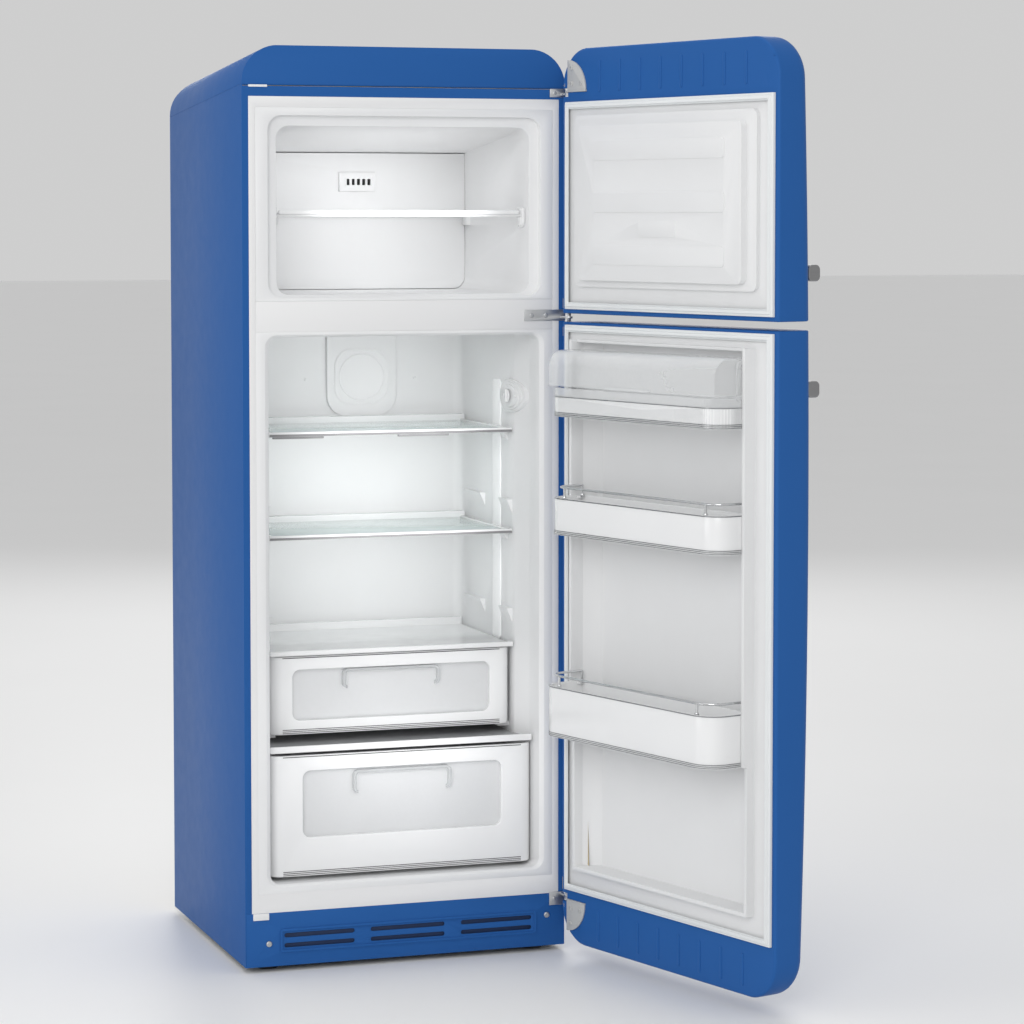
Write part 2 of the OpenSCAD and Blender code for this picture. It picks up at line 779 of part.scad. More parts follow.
module door_foam(z0, z1, gz0, gz1, floor_t) {
    difference() {
        door_block(z0, z1, 2.5);
        box(-half_w + 20, half_w - 24, hinge_y + floor_t, door_back + 5, gz0 + 12, gz1 - 12);
    }
}

// ring that seals on the cabinet's face
module door_gasket(gz0, gz1) color("#e9eced") {
    difference() {
        along_y(round_box(-half_w + 6, half_w - 11, gz0, gz1, 6), door_back + 2, gasket_face);
        along_y(round_box(-half_w + 19, half_w - 24, gz0 + 13, gz1 - 13, 4), door_back,
            gasket_face + 1);
    }
}

fz_g0 = 1173;
fz_g1 = 1543;
fr_g0 = 120;
fr_g1 = 1145;
pan_x0 = -half_w + 22.3;
pan_x1 = half_w - 26.3;

module freezer_door_panel() color(body_blue) stand_open() difference() {
    door_panel(door_split, upper_z1, fz_g0, fz_g1, 1559, 1615);
    hinge_notch(1553, 1568);
    flange_slot(1561);
    handle_bores(1244);
    rod_z(hinge_x, hinge_y, 1560, 1592, 6);
    rod_z(hinge_x, hinge_y, door_split - 1, 1186, 6);
    box(hinge_x - 20, door_x1 + 1, hinge_y - 13, hinge_y + 9.5, door_split - 1, door_split + 4);
}

module freezer_door_foam() color("#f0e2b0") stand_open() difference() {
    door_foam(door_split, upper_z1, fz_g0, fz_g1, 2);
    hinge_notch(1553, 1568);
    flange_slot(1561);
    handle_bores(1244);
    rod_z(hinge_x, hinge_y, 1560, 1592, 6);
    rod_z(hinge_x, hinge_y, door_split - 1, 1186, 6);
    box(hinge_x - 20, door_x1 + 1, hinge_y - 13, hinge_y + 9.5, door_split - 1, door_split + 4);
}

// flange, low step and raised middle with three bars and a small plain badge
module freezer_door_liner() color(liner_white) stand_open() {
    inner = hinge_y + 2;
    raised = hinge_y + 33;
    difference() {
        union() {
            box(-half_w + 6, half_w - 11, door_back, door_back + 2, fz_g0, fz_g1);
            box(pan_x0, pan_x1, inner, door_back, fz_g0 + 12.3, fz_g1 - 12.3);
            along_y(round_box(-half_w + 44, half_w - 44, 1214, 1518, 14), door_back + 2, hinge_y + 21);
            along_y(round_box(-half_w + 70, half_w - 70, 1226, 1498, 10), hinge_y + 21, raised);
        }
        along_y(round_box(-half_w + 47, half_w - 47, 1217, 1515, 12), inner + 3, hinge_y + 18);
        along_y(round_box(-half_w + 73, half_w - 73, 1229, 1495, 8), hinge_y + 16, raised - 3);
    }
    for (z = [1437, 1346, 1254])
        along_y(round_box(-186, 186, z, z + 35, 8), raised, raised + 1.5);
    along_y(round_box(-53, 53, 1303, 1332, 6), raised, raised + 1);
}

module freezer_door_gasket() stand_open() door_gasket(fz_g0, fz_g1);

// bar on two posts, across the front near the free edge
module door_handle(z) color("#b9bbbd") stand_open() {
    bar_y0 = hinge_y - 122;
    along_x(round_box(bar_y0, bar_y0 + 26, z - 14, z + 14, 9), handle_x0, handle_x1);
    for (x = [handle_x0 + 14, handle_x1 - 14]) rod_y(x, bar_y0 + 20, hinge_y - 58, z, 11);
}
module freezer_door_handle() door_handle(1244);

// quarter-round plate with a flange whose bore runs on the pin
module hinge_plate(z, up) {
    d = up ? 1 : -1;
    r = 54;
    x1 = hinge_x - 14;
    corner = z + d * 3;
    along_y(concat([[x1, corner], [x1 - r, corner]],
        [for (a = [0:8]) [x1 - r * cos(a * 90 / 8), corner + d * r * sin(a * 90 / 8)]]),
        door_back, door_back + 2.5);
    difference() {
        union() {
            box(x1 - r, x1 + 4, hinge_y - 7, door_back + 2.5, min(z, corner), max(z, corner));
            rod_z(hinge_x, hinge_y, min(z, corner), max(z, corner), 7);
            box(hinge_x - 11, hinge_x, hinge_y - 7, hinge_y + 7, min(z, corner), max(z, corner));
        }
        rod_z(hinge_x, hinge_y, z - 9, z + 9, bore_r);
    }
}

// small plate with a bush in the edge of a door
module edge_bush(z0, z1) {
    difference() {
        union() {
            box(hinge_x - 19, hinge_x, hinge_y - 9, hinge_y + 9, z0, z1);
            rod_z(hinge_x, hinge_y, z0, z1, 5);
        }
        rod_z(hinge_x, hinge_y, z0 - 1, z1 + 1, bore_r);
    }
}

module plate_screws(z, up) {
    d = up ? 1 : -1;
    for (p = [[-12, 12], [-40, 12], [-12, 40]])
        translate([hinge_x - 14 + p[0], door_back + 2.5, z + d * (3 + p[1])]) rotate([-90, 0, 0])
            cylinder(r1 = 4.5, r2 = 3, h = 1.6);
}

module freezer_door_hinge_plates() color("#b4b6b8") stand_open() {
    hinge_plate(1561, true);
    plate_screws(1561, true);
    edge_bush(door_split, door_split + 3);
}

module fridge_door_panel() color(body_blue) stand_open() difference() {
    door_panel(door_z0, lower_z1, fr_g0, fr_g1, 40, 96);
    hinge_notch(96, 112);
    flange_slot(99);
    bush_pocket(108);
    handle_bores(1048);
    rod_z(hinge_x, hinge_y, 72, 134, 6);
    rod_z(hinge_x, hinge_y, 1130, lower_z1 + 1, 6);
    box(hinge_x - 20, door_x1 + 1, hinge_y - 13, hinge_y + 9.5, lower_z1 - 4, lower_z1 + 1);
}

module fridge_door_foam() color("#f0e2b0") stand_open() difference() {
    door_foam(door_z0, lower_z1, fr_g0, fr_g1, -18);
    hinge_notch(96, 112);
    flange_slot(99);
    bush_pocket(108);
    handle_bores(1048);
    rod_z(hinge_x, hinge_y, 72, 134, 6);
    rod_z(hinge_x, hinge_y, 1130, lower_z1 + 1, 6);
    box(hinge_x - 20, door_x1 + 1, hinge_y - 13, hinge_y + 9.5, lower_z1 - 4, lower_z1 + 1);
}

dyke_x = 241;                         // inner edge of the liner's side ridges
// recessed middle between two upright ridges, lower below the bottle shelf
module fridge_door_liner() color(liner_white) stand_open() {
    floor_y = hinge_y - 15;
    difference() {
        union() {
            box(-half_w + 6, half_w - 11, door_back, door_back + 2, fr_g0, fr_g1);
            box(pan_x0, pan_x1, hinge_y - 17.7, door_back, fr_g0 + 12.3, fr_g1 - 12.3);
        }
        along_z([[-dyke_x, door_back + 5], [-dyke_x, door_back], [-dyke_x + 24, floor_y],
            [dyke_x - 24, floor_y], [dyke_x, door_back], [dyke_x, door_back + 5]], 171, 1114);
    }
    both_sides() {
        box(dyke_x, dyke_x + 7, door_back + 2, hinge_y + 38, 418, 1120);
        box(dyke_x, dyke_x + 7, door_back + 2, hinge_y + 30, 164, 418);
    }
    box(-dyke_x, dyke_x, door_back + 2, hinge_y + 30, 164, 171);
    box(-dyke_x, dyke_x, door_back + 2, hinge_y + 26, 1115, 1120);
}

module fridge_door_gasket() stand_open() door_gasket(fr_g0, fr_g1);
module fridge_door_handle() door_handle(1048);

module fridge_door_hinge_plates() color("#b4b6b8") stand_open() {
    hinge_plate(102, false);
    plate_screws(102, false);
    edge_bush(108, 111);
    edge_bush(lower_z1 - 3, lower_z1);
}

// ---- door shelves ----

bin_x = dyke_x - 1.5;
bin_back = hinge_y + 13;
// open tray with two rounded front corners
module bin(front, z0, z1, r) {
    function plan(g) = concat([[bin_x - g, bin_back + g], [-bin_x + g, bin_back + g]],
        [for (a = [180:-15:90]) [-bin_x + r + (r - g) * cos(a), front - r + (r - g) * sin(a)]],
        [for (a = [90:-15:0]) [bin_x - r + (r - g) * cos(a), front - r + (r - g) * sin(a)]]);
    difference() {
        along_z(plan(0), z0, z1);
        along_z(plan(3), z0 + 3, z1 + 1);
    }
}

// wire rail on posts above the front edge
module bin_rail(front, z0, z1, r) {
    inset = 10;
    y_end = bin_back + 8;
    x = bin_x - inset;
    rod_x(-x + r, x - r, front - inset, z1, 2.2);
    both_sides() {
        rod_y(x, y_end, front - inset - r, z1, 2.2);
        translate([x - r, front - inset - r, z1]) rotate_extrude(angle = 90)
            translate([r, 0]) circle(r = 2.2);
        rod_z(x, y_end + 2.2, z0, z1, 2.2);
        rod_z(x - r, front - inset, z0, z1, 1.8);
        box(x - 4, x + 10, y_end - 4, y_end + 8, z0 - 2, z0);
        box(x - r - 4, x - r + 4, front - inset - 3, front - 2, z0 - 2, z0);
    }
}

bin_front = hinge_y + 92;
bottle_front = hinge_y + 106;
module middle_bin() color(liner_white) stand_open() {
    bin(bin_front, 776, 842, 36);
    bin_rail(bin_front, 840, 860, 30);
}

module bottle_bin() color(liner_white) stand_open() {
    bin(bottle_front, 418, 508, 40);
    bin_rail(bottle_front, 506, 526, 34);
}

lid_x = bin_x - 5;
lid_z0 = 1040;
lid_z1 = 1103;
lid_r = 30;
lid_back = hinge_y + 18;
pivot_y = hinge_y + 38;
pivot_z = 1089;

// clear tray with an ear at each end for the lid's pivots
module dairy_box() color(clear_plastic) stand_open() {
    bin(bin_front, 986, 1037, 36);
    both_sides() difference() {
        along_x(round_box(pivot_y - 10, pivot_y + 10, 1020, 1099, 9), lid_x + 0.5, bin_x - 0.1);
        rod_x(lid_x - 1, bin_x + 1, pivot_y, pivot_z, bore_r);
    }
}

// curved clear cover that swings up on two end pivots
module dairy_lid() color(clear_plastic) stand_open() {
    skin_t = 3;
    top = arc(bin_front - lid_r, lid_z1 - lid_r, lid_r, 0, 90);
    under = arc(bin_front - lid_r, lid_z1 - lid_r, lid_r - skin_t, 0, 90);
    difference() {
        along_x(concat([[lid_back, lid_z0 + 18], [lid_back + 22, lid_z0], [bin_front, lid_z0]],
            top, [[lid_back, lid_z1]]), -lid_x, lid_x);
        along_x(concat([[lid_back - 4, lid_z0 - 10], [bin_front - skin_t, lid_z0 - 10]],
            under, [[lid_back - 4, lid_z1 - skin_t]]), -lid_x + skin_t, lid_x - skin_t);
    }
    both_sides() rod_x(lid_x - 1, bin_x - 0.3, pivot_y, pivot_z, pin_r);
    box(-60, 60, bin_front, bin_front + 6, lid_z0, lid_z0 + 4);
}

cabinet_shell();
top_cover();
front_frame();
back_panel();
base_tray();
foam_insulation();
freezer_liner();
fridge_liner();
mullion_cover();
evaporator_cover();
evaporator();
fan_motor();
fan_blade();
duct_cover();
control_housing();
control_knob();
light_column();
kick_plate();
cabinet_screws();
top_hinge_bracket();
middle_hinge_bracket();
bottom_hinge_bracket();
hinge_hole_caps();
compressor();
compressor_mounts();
drip_tray();
terminal_box();
condenser_tube();
condenser_wires();
left_foot();
right_foot();
left_roller();
right_roller();
upper_shelf_glass();
upper_shelf_trim();
lower_shelf_glass();
lower_shelf_trim();
crisper_shelf();
drawer_cover();
freezer_shelf();
upper_drawer();
upper_drawer_handle();
lower_drawer();
lower_drawer_handle();
freezer_door_panel();
freezer_door_foam();
freezer_door_liner();
freezer_door_gasket();
freezer_door_handle();
freezer_door_hinge_plates();
fridge_door_panel();
fridge_door_foam();
fridge_door_liner();
fridge_door_gasket();
fridge_door_handle();
fridge_door_hinge_plates();
dairy_box();
dairy_lid();
middle_bin();
bottle_bin();
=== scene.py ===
import bmesh
import bpy
import json
import math
from mathutils import Matrix, Vector

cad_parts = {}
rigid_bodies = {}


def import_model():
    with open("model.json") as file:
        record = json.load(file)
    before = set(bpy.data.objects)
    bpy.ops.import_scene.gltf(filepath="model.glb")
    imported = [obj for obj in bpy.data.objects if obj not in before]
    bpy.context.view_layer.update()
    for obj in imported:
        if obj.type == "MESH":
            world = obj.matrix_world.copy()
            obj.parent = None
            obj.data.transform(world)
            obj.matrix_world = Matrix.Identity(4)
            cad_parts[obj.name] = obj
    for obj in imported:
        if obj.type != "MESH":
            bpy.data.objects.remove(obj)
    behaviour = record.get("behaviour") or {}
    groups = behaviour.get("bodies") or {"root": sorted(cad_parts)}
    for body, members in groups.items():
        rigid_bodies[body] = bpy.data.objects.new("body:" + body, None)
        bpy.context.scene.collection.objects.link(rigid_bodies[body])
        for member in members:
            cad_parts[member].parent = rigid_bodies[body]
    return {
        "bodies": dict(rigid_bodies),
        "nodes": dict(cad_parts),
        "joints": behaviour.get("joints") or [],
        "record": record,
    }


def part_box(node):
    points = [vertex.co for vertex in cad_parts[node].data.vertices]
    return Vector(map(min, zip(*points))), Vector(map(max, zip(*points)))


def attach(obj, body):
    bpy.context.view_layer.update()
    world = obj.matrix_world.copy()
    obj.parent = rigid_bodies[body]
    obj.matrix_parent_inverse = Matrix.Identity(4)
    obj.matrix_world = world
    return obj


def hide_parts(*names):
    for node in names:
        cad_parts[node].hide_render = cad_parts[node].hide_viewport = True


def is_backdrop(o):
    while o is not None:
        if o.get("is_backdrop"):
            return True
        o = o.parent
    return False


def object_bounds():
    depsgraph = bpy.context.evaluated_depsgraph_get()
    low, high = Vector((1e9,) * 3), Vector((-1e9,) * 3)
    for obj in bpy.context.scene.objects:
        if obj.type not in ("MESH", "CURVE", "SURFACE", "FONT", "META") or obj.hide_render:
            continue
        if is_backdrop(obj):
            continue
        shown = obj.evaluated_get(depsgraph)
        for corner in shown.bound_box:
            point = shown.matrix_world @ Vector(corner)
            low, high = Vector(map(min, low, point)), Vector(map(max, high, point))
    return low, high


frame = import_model()
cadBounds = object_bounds()
print("frame loaded")

# ---- small tools ----


def alone(piece):
    bpy.ops.object.select_all(action="DESELECT")
    piece.select_set(True)
    bpy.context.view_layer.objects.active = piece


def settle(piece):  # moves its place into the mesh
    alone(piece)
    bpy.ops.object.transform_apply(location=True, rotation=True, scale=True)
    return piece


class Editing:  # edit mode on one piece while the with block lasts
    def __init__(self, piece, kind="FACE"):
        self.piece, self.kind = piece, kind

    def __enter__(self):
        alone(self.piece)
        bpy.ops.object.mode_set(mode="EDIT")
        bpy.ops.mesh.select_mode(type=self.kind)
        bpy.ops.mesh.select_all(action="DESELECT")
        return self

    def __exit__(self, *_):
        bpy.ops.object.mode_set(mode="OBJECT")

    def pick(self, test):  # selects what passes the test and nothing else
        bpy.ops.mesh.select_all(action="DESELECT")
        mesh = bmesh.from_edit_mesh(self.piece.data)
        found = {"FACE": mesh.faces, "EDGE": mesh.edges, "VERT": mesh.verts}[self.kind]
        chosen = [element for element in found if test(element)]
        for element in chosen:
            element.select_set(True)
        mesh.select_flush_mode()
        bmesh.update_edit_mesh(self.piece.data)
        return len(chosen)


def middleOf(element):
    points = [vert.co for vert in element.verts]
    return sum(points, Vector()) / len(points)


def runsAlong(edge, axis):
    run = edge.verts[1].co - edge.verts[0].co
    return abs(run[axis]) > 0.999 * run.length


def faces(face, x=0, y=0, z=0):  # whether a face looks that way
    return face.normal.dot(Vector((x, y, z))) > 0.99


def addBlock(name, low, high):
    low, high = Vector(low), Vector(high)
    bpy.ops.mesh.primitive_cube_add(size=1, location=(low + high) / 2)
    piece = bpy.context.object
    piece.name, piece.scale = name, high - low
    return settle(piece)


def addRod(name, start, end, radius, sides=32):
    start, end = Vector(start), Vector(end)
    run = end - start
    bpy.ops.mesh.primitive_cylinder_add(vertices=sides, radius=radius, depth=run.length,
        location=(start + end) / 2, rotation=run.to_track_quat("Z", "Y").to_euler())
    piece = bpy.context.object
    piece.name = name
    return settle(piece)


turnFor = {"x": (0, math.pi / 2, 0), "y": (math.pi / 2, 0, 0), "z": (0, 0, 0)}


def addSheet(name, across, at, low, high, radii=0, segments=8):
    # one flat face across an axis, its corners rounded in the order
    # low-low, high-low, high-high, low-high; low and high leave that axis out
    axis = "xyz".index(across)
    others = [other for other in range(3) if other != axis]
    corners = [(low[0], low[1]), (high[0], low[1]), (high[0], high[1]), (low[0], high[1])]
    centre = Vector((0, 0, 0))
    centre[axis] = at
    for index, other in enumerate(others):
        centre[other] = (low[index] + high[index]) / 2
    wide, tall = high[0] - low[0], high[1] - low[1]
    bpy.ops.mesh.primitive_plane_add(size=1, location=centre, rotation=turnFor[across])
    piece = bpy.context.object
    piece.name = name
    piece.scale = (tall, wide, 1) if across == "x" else (wide, tall, 1)
    settle(piece)
    if not isinstance(radii, (list, tuple)):
        radii = [radii] * 4
    with Editing(piece, "VERT") as edit:
        for corner, radius in zip(corners, radii):
            if radius:
                edit.pick(lambda vert: all(abs(vert.co[other] - corner[index]) < 1e-6
                    for index, other in enumerate(others)))
                bpy.ops.mesh.bevel(offset=radius, segments=segments, affect="VERTICES")
    return piece


def pull(piece, along):  # a sheet becomes a solid
    with Editing(piece):
        bpy.ops.mesh.select_all(action="SELECT")
        bpy.ops.mesh.extrude_region_move(TRANSFORM_OT_translate={"value": along})
        bpy.ops.mesh.select_all(action="SELECT")
        bpy.ops.mesh.normals_make_consistent(inside=False)
    return piece


def addPlate(name, across, span, low, high, radii=0, segments=8):
    along = [0, 0, 0]
    along["xyz".index(across)] = span[1] - span[0]
    return pull(addSheet(name, across, span[0], low, high, radii, segments), along)


def modify(piece, kind, **settings):
    alone(piece)
    modifier = piece.modifiers.new(kind.lower(), kind)
    for key, value in settings.items():
        setattr(modifier, key, value)
    bpy.ops.object.modifier_apply(modifier=modifier.name)
    return piece


def smooth(piece, angle=32):
    alone(piece)
    bpy.ops.object.shade_smooth_by_angle(angle=math.radians(angle))
    return piece


def soften(piece, width, segments=2, angle=32):
    modify(piece, "BEVEL", width=width, segments=segments, limit_method="ANGLE",
        angle_limit=math.radians(angle))
    return smooth(piece, angle)


def hollow(piece, test, wall, depth):  # sinks the picked face inside a wall
    with Editing(piece) as edit:
        edit.pick(test)
        bpy.ops.mesh.inset(thickness=wall)
        bpy.ops.mesh.extrude_region_move(TRANSFORM_OT_translate={"value": depth})
    return piece


def cutOut(piece, cutter):
    modify(piece, "BOOLEAN", operation="DIFFERENCE", solver="EXACT", object=cutter)
    bpy.data.objects.remove(cutter)
    return piece


def together(name, parts):
    bpy.ops.object.select_all(action="DESELECT")
    for part in parts:
        part.select_set(True)
    bpy.context.view_layer.objects.active = parts[0]
    bpy.ops.object.join()
    parts[0].name = name
    return parts[0]


def wireFrom(piece, radius):  # the edges of a piece become round wire
    alone(piece)
    bpy.ops.object.convert(target="CURVE")
    piece.data.bevel_depth = radius
    piece.data.bevel_resolution = 3
    piece.data.use_fill_caps = True
    bpy.ops.object.convert(target="MESH")
    with Editing(piece):
        bpy.ops.mesh.select_all(action="SELECT")
        bpy.ops.mesh.normals_make_consistent(inside=False)
    return smooth(piece, 50)


def fromNode(node, name, edge=0, segments=2, angle=32):
    # the CAD part's own shape, merged and with its edges eased
    piece = bpy.data.objects.new(name, frame["nodes"][node].data.copy())
    bpy.context.scene.collection.objects.link(piece)
    with Editing(piece):
        bpy.ops.mesh.select_all(action="SELECT")
        bpy.ops.mesh.remove_doubles(threshold=1e-5)
        bpy.ops.mesh.dissolve_limited(angle_limit=math.radians(0.5))
    if edge:
        soften(piece, edge, segments, angle)
    else:
        smooth(piece, angle)
    return piece


def fit(piece, body, slot, finish, *nodes):
    piece.data.materials.clear()
    for each in finish if isinstance(finish, (list, tuple)) else [finish]:
        piece.data.materials.append(each.material)
    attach(piece, body)
    if nodes:
        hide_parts(*nodes)
    return piece


hinge = next(joint for joint in frame["joints"] if joint["name"] == "fridge_door_hinge")
hingeAt = Vector((0.3, -0.297, 0))  # upright axis of both doors
openAngle = -math.radians(hinge["range_deg"][0])
swing = (Matrix.Translation(hingeAt) @ Matrix.Rotation(openAngle, 4, "Z")
    @ Matrix.Translation(-hingeAt))


def swingOpen(piece):  # door pieces are made closed, then turned to where they stand
    piece.matrix_world = swing @ piece.matrix_world
    return settle(piece)


# ---- camera, floor and light ----

view = {
    "place": (-1.713, -5.8163, 1.3416),
    "heading": 19.011,
    "tilt": 3.418,
    "lens": 114.56,
    "shift": (0.00127, -0.1),
}
cameraData = bpy.data.cameras.new("camera")
camera = bpy.data.objects.new("camera", cameraData)
bpy.context.scene.collection.objects.link(camera)
camera.location = view["place"]
camera.rotation_euler = (math.radians(90 - view["tilt"]), 0, -math.radians(view["heading"]))
cameraData.lens = view["lens"]
cameraData.shift_x, cameraData.shift_y = view["shift"]
cameraData.clip_end = 200
bpy.context.scene.camera = camera
bpy.context.scene.view_settings.view_transform = "Standard"

light = {
    "sky": ((1.0, 1.0, 1.0), 0.62),
    "lamps": {  # place, aim, width and height, power
        "key": ((-2.6, -5.6, 3.0), (0, -0.2, 0.9), (3.0, 3.0), 110),
        "side": ((-5.0, -0.6, 1.8), (-0.3, 0, 0.9), (2.5, 3.0), 30),
        "back": ((1.8, 5.2, 3.4), (0, 0.2, 0.9), (3.0, 3.0), 60),
        "top": ((0, 0, 5.2), (0, 0, 1.6), (3.0, 3.0), 40),
    },
    "spread": math.radians(100),
    "compartments": {  # soft light at each mouth, shining in: place, size, power
        "freezer_fill": ((0, -0.30, 1.37), (0.30, 0.20), 0.30),
        "fridge_fill": ((0, -0.30, 0.85), (0.30, 0.44), 0.58),
        "drawer_fill": ((0, -0.50, 0.40), (0.30, 0.20), 0.18),
    },
}
world = bpy.data.worlds.new("studio")
world.use_nodes = True
world.node_tree.nodes["Background"].inputs["Color"].default_value = (*light["sky"][0], 1)
world.node_tree.nodes["Background"].inputs["Strength"].default_value = light["sky"][1]
bpy.context.scene.world = world
for lampName, (place, aim, size, power) in light["lamps"].items():
    bpy.ops.object.light_add(type="AREA", location=place)
    lamp = bpy.context.object
    lamp.name = lampName
    lamp.rotation_euler = (Vector(aim) - Vector(place)).to_track_quat("-Z", "Y").to_euler()
    lamp.data.shape = "RECTANGLE"
    lamp.data.size, lamp.data.size_y = size
    lamp.data.energy = power
for lampName, (place, size, power) in light["compartments"].items():
    bpy.ops.object.light_add(type="AREA", location=place, rotation=(math.radians(90), 0, 0))
    lamp = bpy.context.object
    lamp.name = lampName
    lamp.data.shape = "RECTANGLE"
    lamp.data.size, lamp.data.size_y = size
    lamp.data.energy = power
    lamp.data.spread = light["spread"]
    lamp.visible_camera = lamp.visible_glossy = False
print("camera and light set")

# ---- finishes ----


class Wire:  # a shader socket that takes part in sums
    def __init__(self, finish, socket):
        self.finish, self.socket = finish, socket

    def sum(self, operation, first, second):
        return self.finish.node("ShaderNodeMath", {"operation": operation},
            {0: first, 1: second})

    def __add__(self, other):
        return self.sum("ADD", self, other)

    def __radd__(self, other):
        return self.sum("ADD", other, self)

    def __rmul__(self, other):
        return self.sum("MULTIPLY", other, self)


class Finish:
    def __init__(self, name, fixed):
        self.material = bpy.data.materials.new(name)
        self.material.use_nodes = True
        self.tree = self.material.node_tree
        self.shader = self.tree.nodes["Principled BSDF"]
        for socket, value in fixed.items():
            self.shader.inputs[socket].default_value = value
        self.place = self.node("ShaderNodeTexCoord", output="Object")

    def node(self, kind, settings=None, values=None, output=0):
        made = self.tree.nodes.new(kind)
        for key, value in (settings or {}).items():
            setattr(made, key, value)
        for key, value in (values or {}).items():
            if isinstance(value, Wire):
                self.tree.links.new(value.socket, made.inputs[key])
            else:
                made.inputs[key].default_value = value
        return Wire(self, made.outputs[output])

    def feed(self, socket, wire):
        self.tree.links.new(wire.socket, self.shader.inputs[socket])

    def stretched(self, scale):
        return self.node("ShaderNodeMapping", {}, {"Vector": self.place, "Scale": scale})

    def noise(self, scale, detail=3.0, rough=0.5, place=None):
        return self.node("ShaderNodeTexNoise", {}, {"Vector": place or self.place,
            "Scale": scale, "Detail": detail, "Roughness": rough}, "Fac")

    def blend(self, factor, first, second):
        return self.node("ShaderNodeMix", {"data_type": "RGBA"},
            {0: factor, 6: (*first, 1), 7: (*second, 1)}, 2)

    def bump(self, height, strength, depth):
        self.feed("Normal", self.node("ShaderNodeBump", {},
            {"Height": height, "Strength": strength, "Distance": depth}, "Normal"))

    def edgeOn(self, blend=0.4):  # 0 face on, 1 at a glancing angle
        return self.node("ShaderNodeLayerWeight", {}, {"Blend": blend}, "Facing")


def enamel(name, dark, pale, rough, coat, grain, depth, gloss=0.3):
    made = Finish(name, {"IOR": 1.5, "Coat Weight": coat, "Coat Roughness": 0.1,
        "Specular IOR Level": gloss})
    made.feed("Base Color", made.blend(made.noise(2.6, 4), dark, pale))
    made.feed("Roughness", rough + 0.1 * made.noise(38, 2))
    made.bump(made.noise(grain, 2, 0.6), 0.12, depth)
    return made


def moulding(name, dark, pale, rough, grain, depth, coat=0.0):
    made = Finish(name, {"IOR": 1.49, "Coat Weight": coat, "Coat Roughness": 0.07})
    made.feed("Base Color", made.blend(made.noise(7, 3), dark, pale))
    made.feed("Roughness", rough + 0.12 * made.noise(26, 3))
    made.bump(made.noise(grain, 3, 0.6), 0.15, depth)
    return made


def clearPlastic(name, tint, pale, thin, rough):
    made = Finish(name, {"IOR": 1.49})
    made.feed("Base Color", made.blend(made.noise(12, 2), tint, pale))
    made.feed("Roughness", rough + 0.06 * made.noise(60, 3))
    made.feed("Alpha", thin + (0.9 - thin) * made.edgeOn(0.25) + 0.02 * made.noise(150, 2))
    made.bump(made.noise(90, 2), 0.05, 0.0004)
    return made


def metal(name, dark, pale, rough, stretch, depth=0.0002):
    made = Finish(name, {"Metallic": 1.0})
    streak = made.noise(1, 4, 0.6, made.stretched(stretch))
    made.feed("Base Color", made.blend(streak, dark, pale))
    made.feed("Roughness", rough + 0.18 * streak)
    made.bump(streak, 0.1, depth)
    return made


bluePaint = enamel("blue enamel", dark=(0.022, 0.106, 0.340), pale=(0.026, 0.116, 0.365),
    rough=0.34, coat=0.0, grain=650, depth=0.0003, gloss=0.06)
whitePaint = enamel("white enamel", dark=(0.80, 0.80, 0.80), pale=(0.84, 0.84, 0.845), rough=0.34,
    coat=0.15, grain=700, depth=0.0002)
liner = moulding("vacuum formed liner", dark=(0.80, 0.805, 0.81), pale=(0.845, 0.85, 0.855),
    rough=0.3, grain=900, depth=0.0002)
doorLiner = moulding("door liner", dark=(0.76, 0.765, 0.77), pale=(0.80, 0.805, 0.81), rough=0.34,
    grain=900, depth=0.0002)
glossWhite = moulding("gloss white plastic", dark=(0.82, 0.825, 0.83), pale=(0.86, 0.865, 0.87),
    rough=0.16, grain=500, depth=0.0001, coat=0.4)
clear = clearPlastic("clear styrene", tint=(0.88, 0.90, 0.91), pale=(0.94, 0.95, 0.955),
    thin=0.12, rough=0.05)
gripClear = clearPlastic("clear grip", tint=(0.62, 0.64, 0.65), pale=(0.80, 0.82, 0.83),
    thin=0.42, rough=0.05)
frosted = clearPlastic("frosted window", tint=(0.80, 0.81, 0.82), pale=(0.84, 0.85, 0.86),
    thin=0.74, rough=0.34)
greyPane = clearPlastic("grey cover pane", tint=(0.56, 0.57, 0.58), pale=(0.62, 0.63, 0.64),
    thin=0.6, rough=0.2)
glass = clearPlastic("shelf glass", tint=(0.66, 0.80, 0.78), pale=(0.72, 0.84, 0.82), thin=0.12,
    rough=0.02)
chrome = metal("bright chrome", dark=(0.62, 0.63, 0.64), pale=(0.72, 0.73, 0.74), rough=0.08,
    stretch=(40, 40, 400))
satin = metal("satin metal", dark=(0.27, 0.27, 0.275), pale=(0.35, 0.35, 0.355), rough=0.26,
    stretch=(30, 30, 900))
darkLine = metal("dark line", dark=(0.08, 0.08, 0.085), pale=(0.13, 0.13, 0.135), rough=0.2,
    stretch=(40, 40, 400))
lineMetal = metal("polished line", dark=(0.26, 0.27, 0.28), pale=(0.34, 0.35, 0.36), rough=0.18,
    stretch=(40, 40, 400))
shelfEdge = moulding("grey shelf edge", dark=(0.22, 0.22, 0.225), pale=(0.27, 0.27, 0.275),
    rough=0.3, grain=600, depth=0.0001)
hingeGrey = enamel("grey hinge paint", dark=(0.46, 0.465, 0.46), pale=(0.52, 0.525, 0.52),
    rough=0.4, coat=0.1, grain=500, depth=0.0002)
zinc = metal("zinc plate", dark=(0.48, 0.49, 0.50), pale=(0.62, 0.63, 0.64), rough=0.26,
    stretch=(70, 70, 70))
black = moulding("black plastic", dark=(0.012, 0.012, 0.013), pale=(0.02, 0.02, 0.022),
    rough=0.38, grain=700, depth=0.0003)
# painted shade for the dark inside of the freezer's air outlet
shadow = moulding("painted gap shade", dark=(0.03, 0.03, 0.032), pale=(0.045, 0.045, 0.048), rough=0.6,
    grain=300, depth=0.0003)
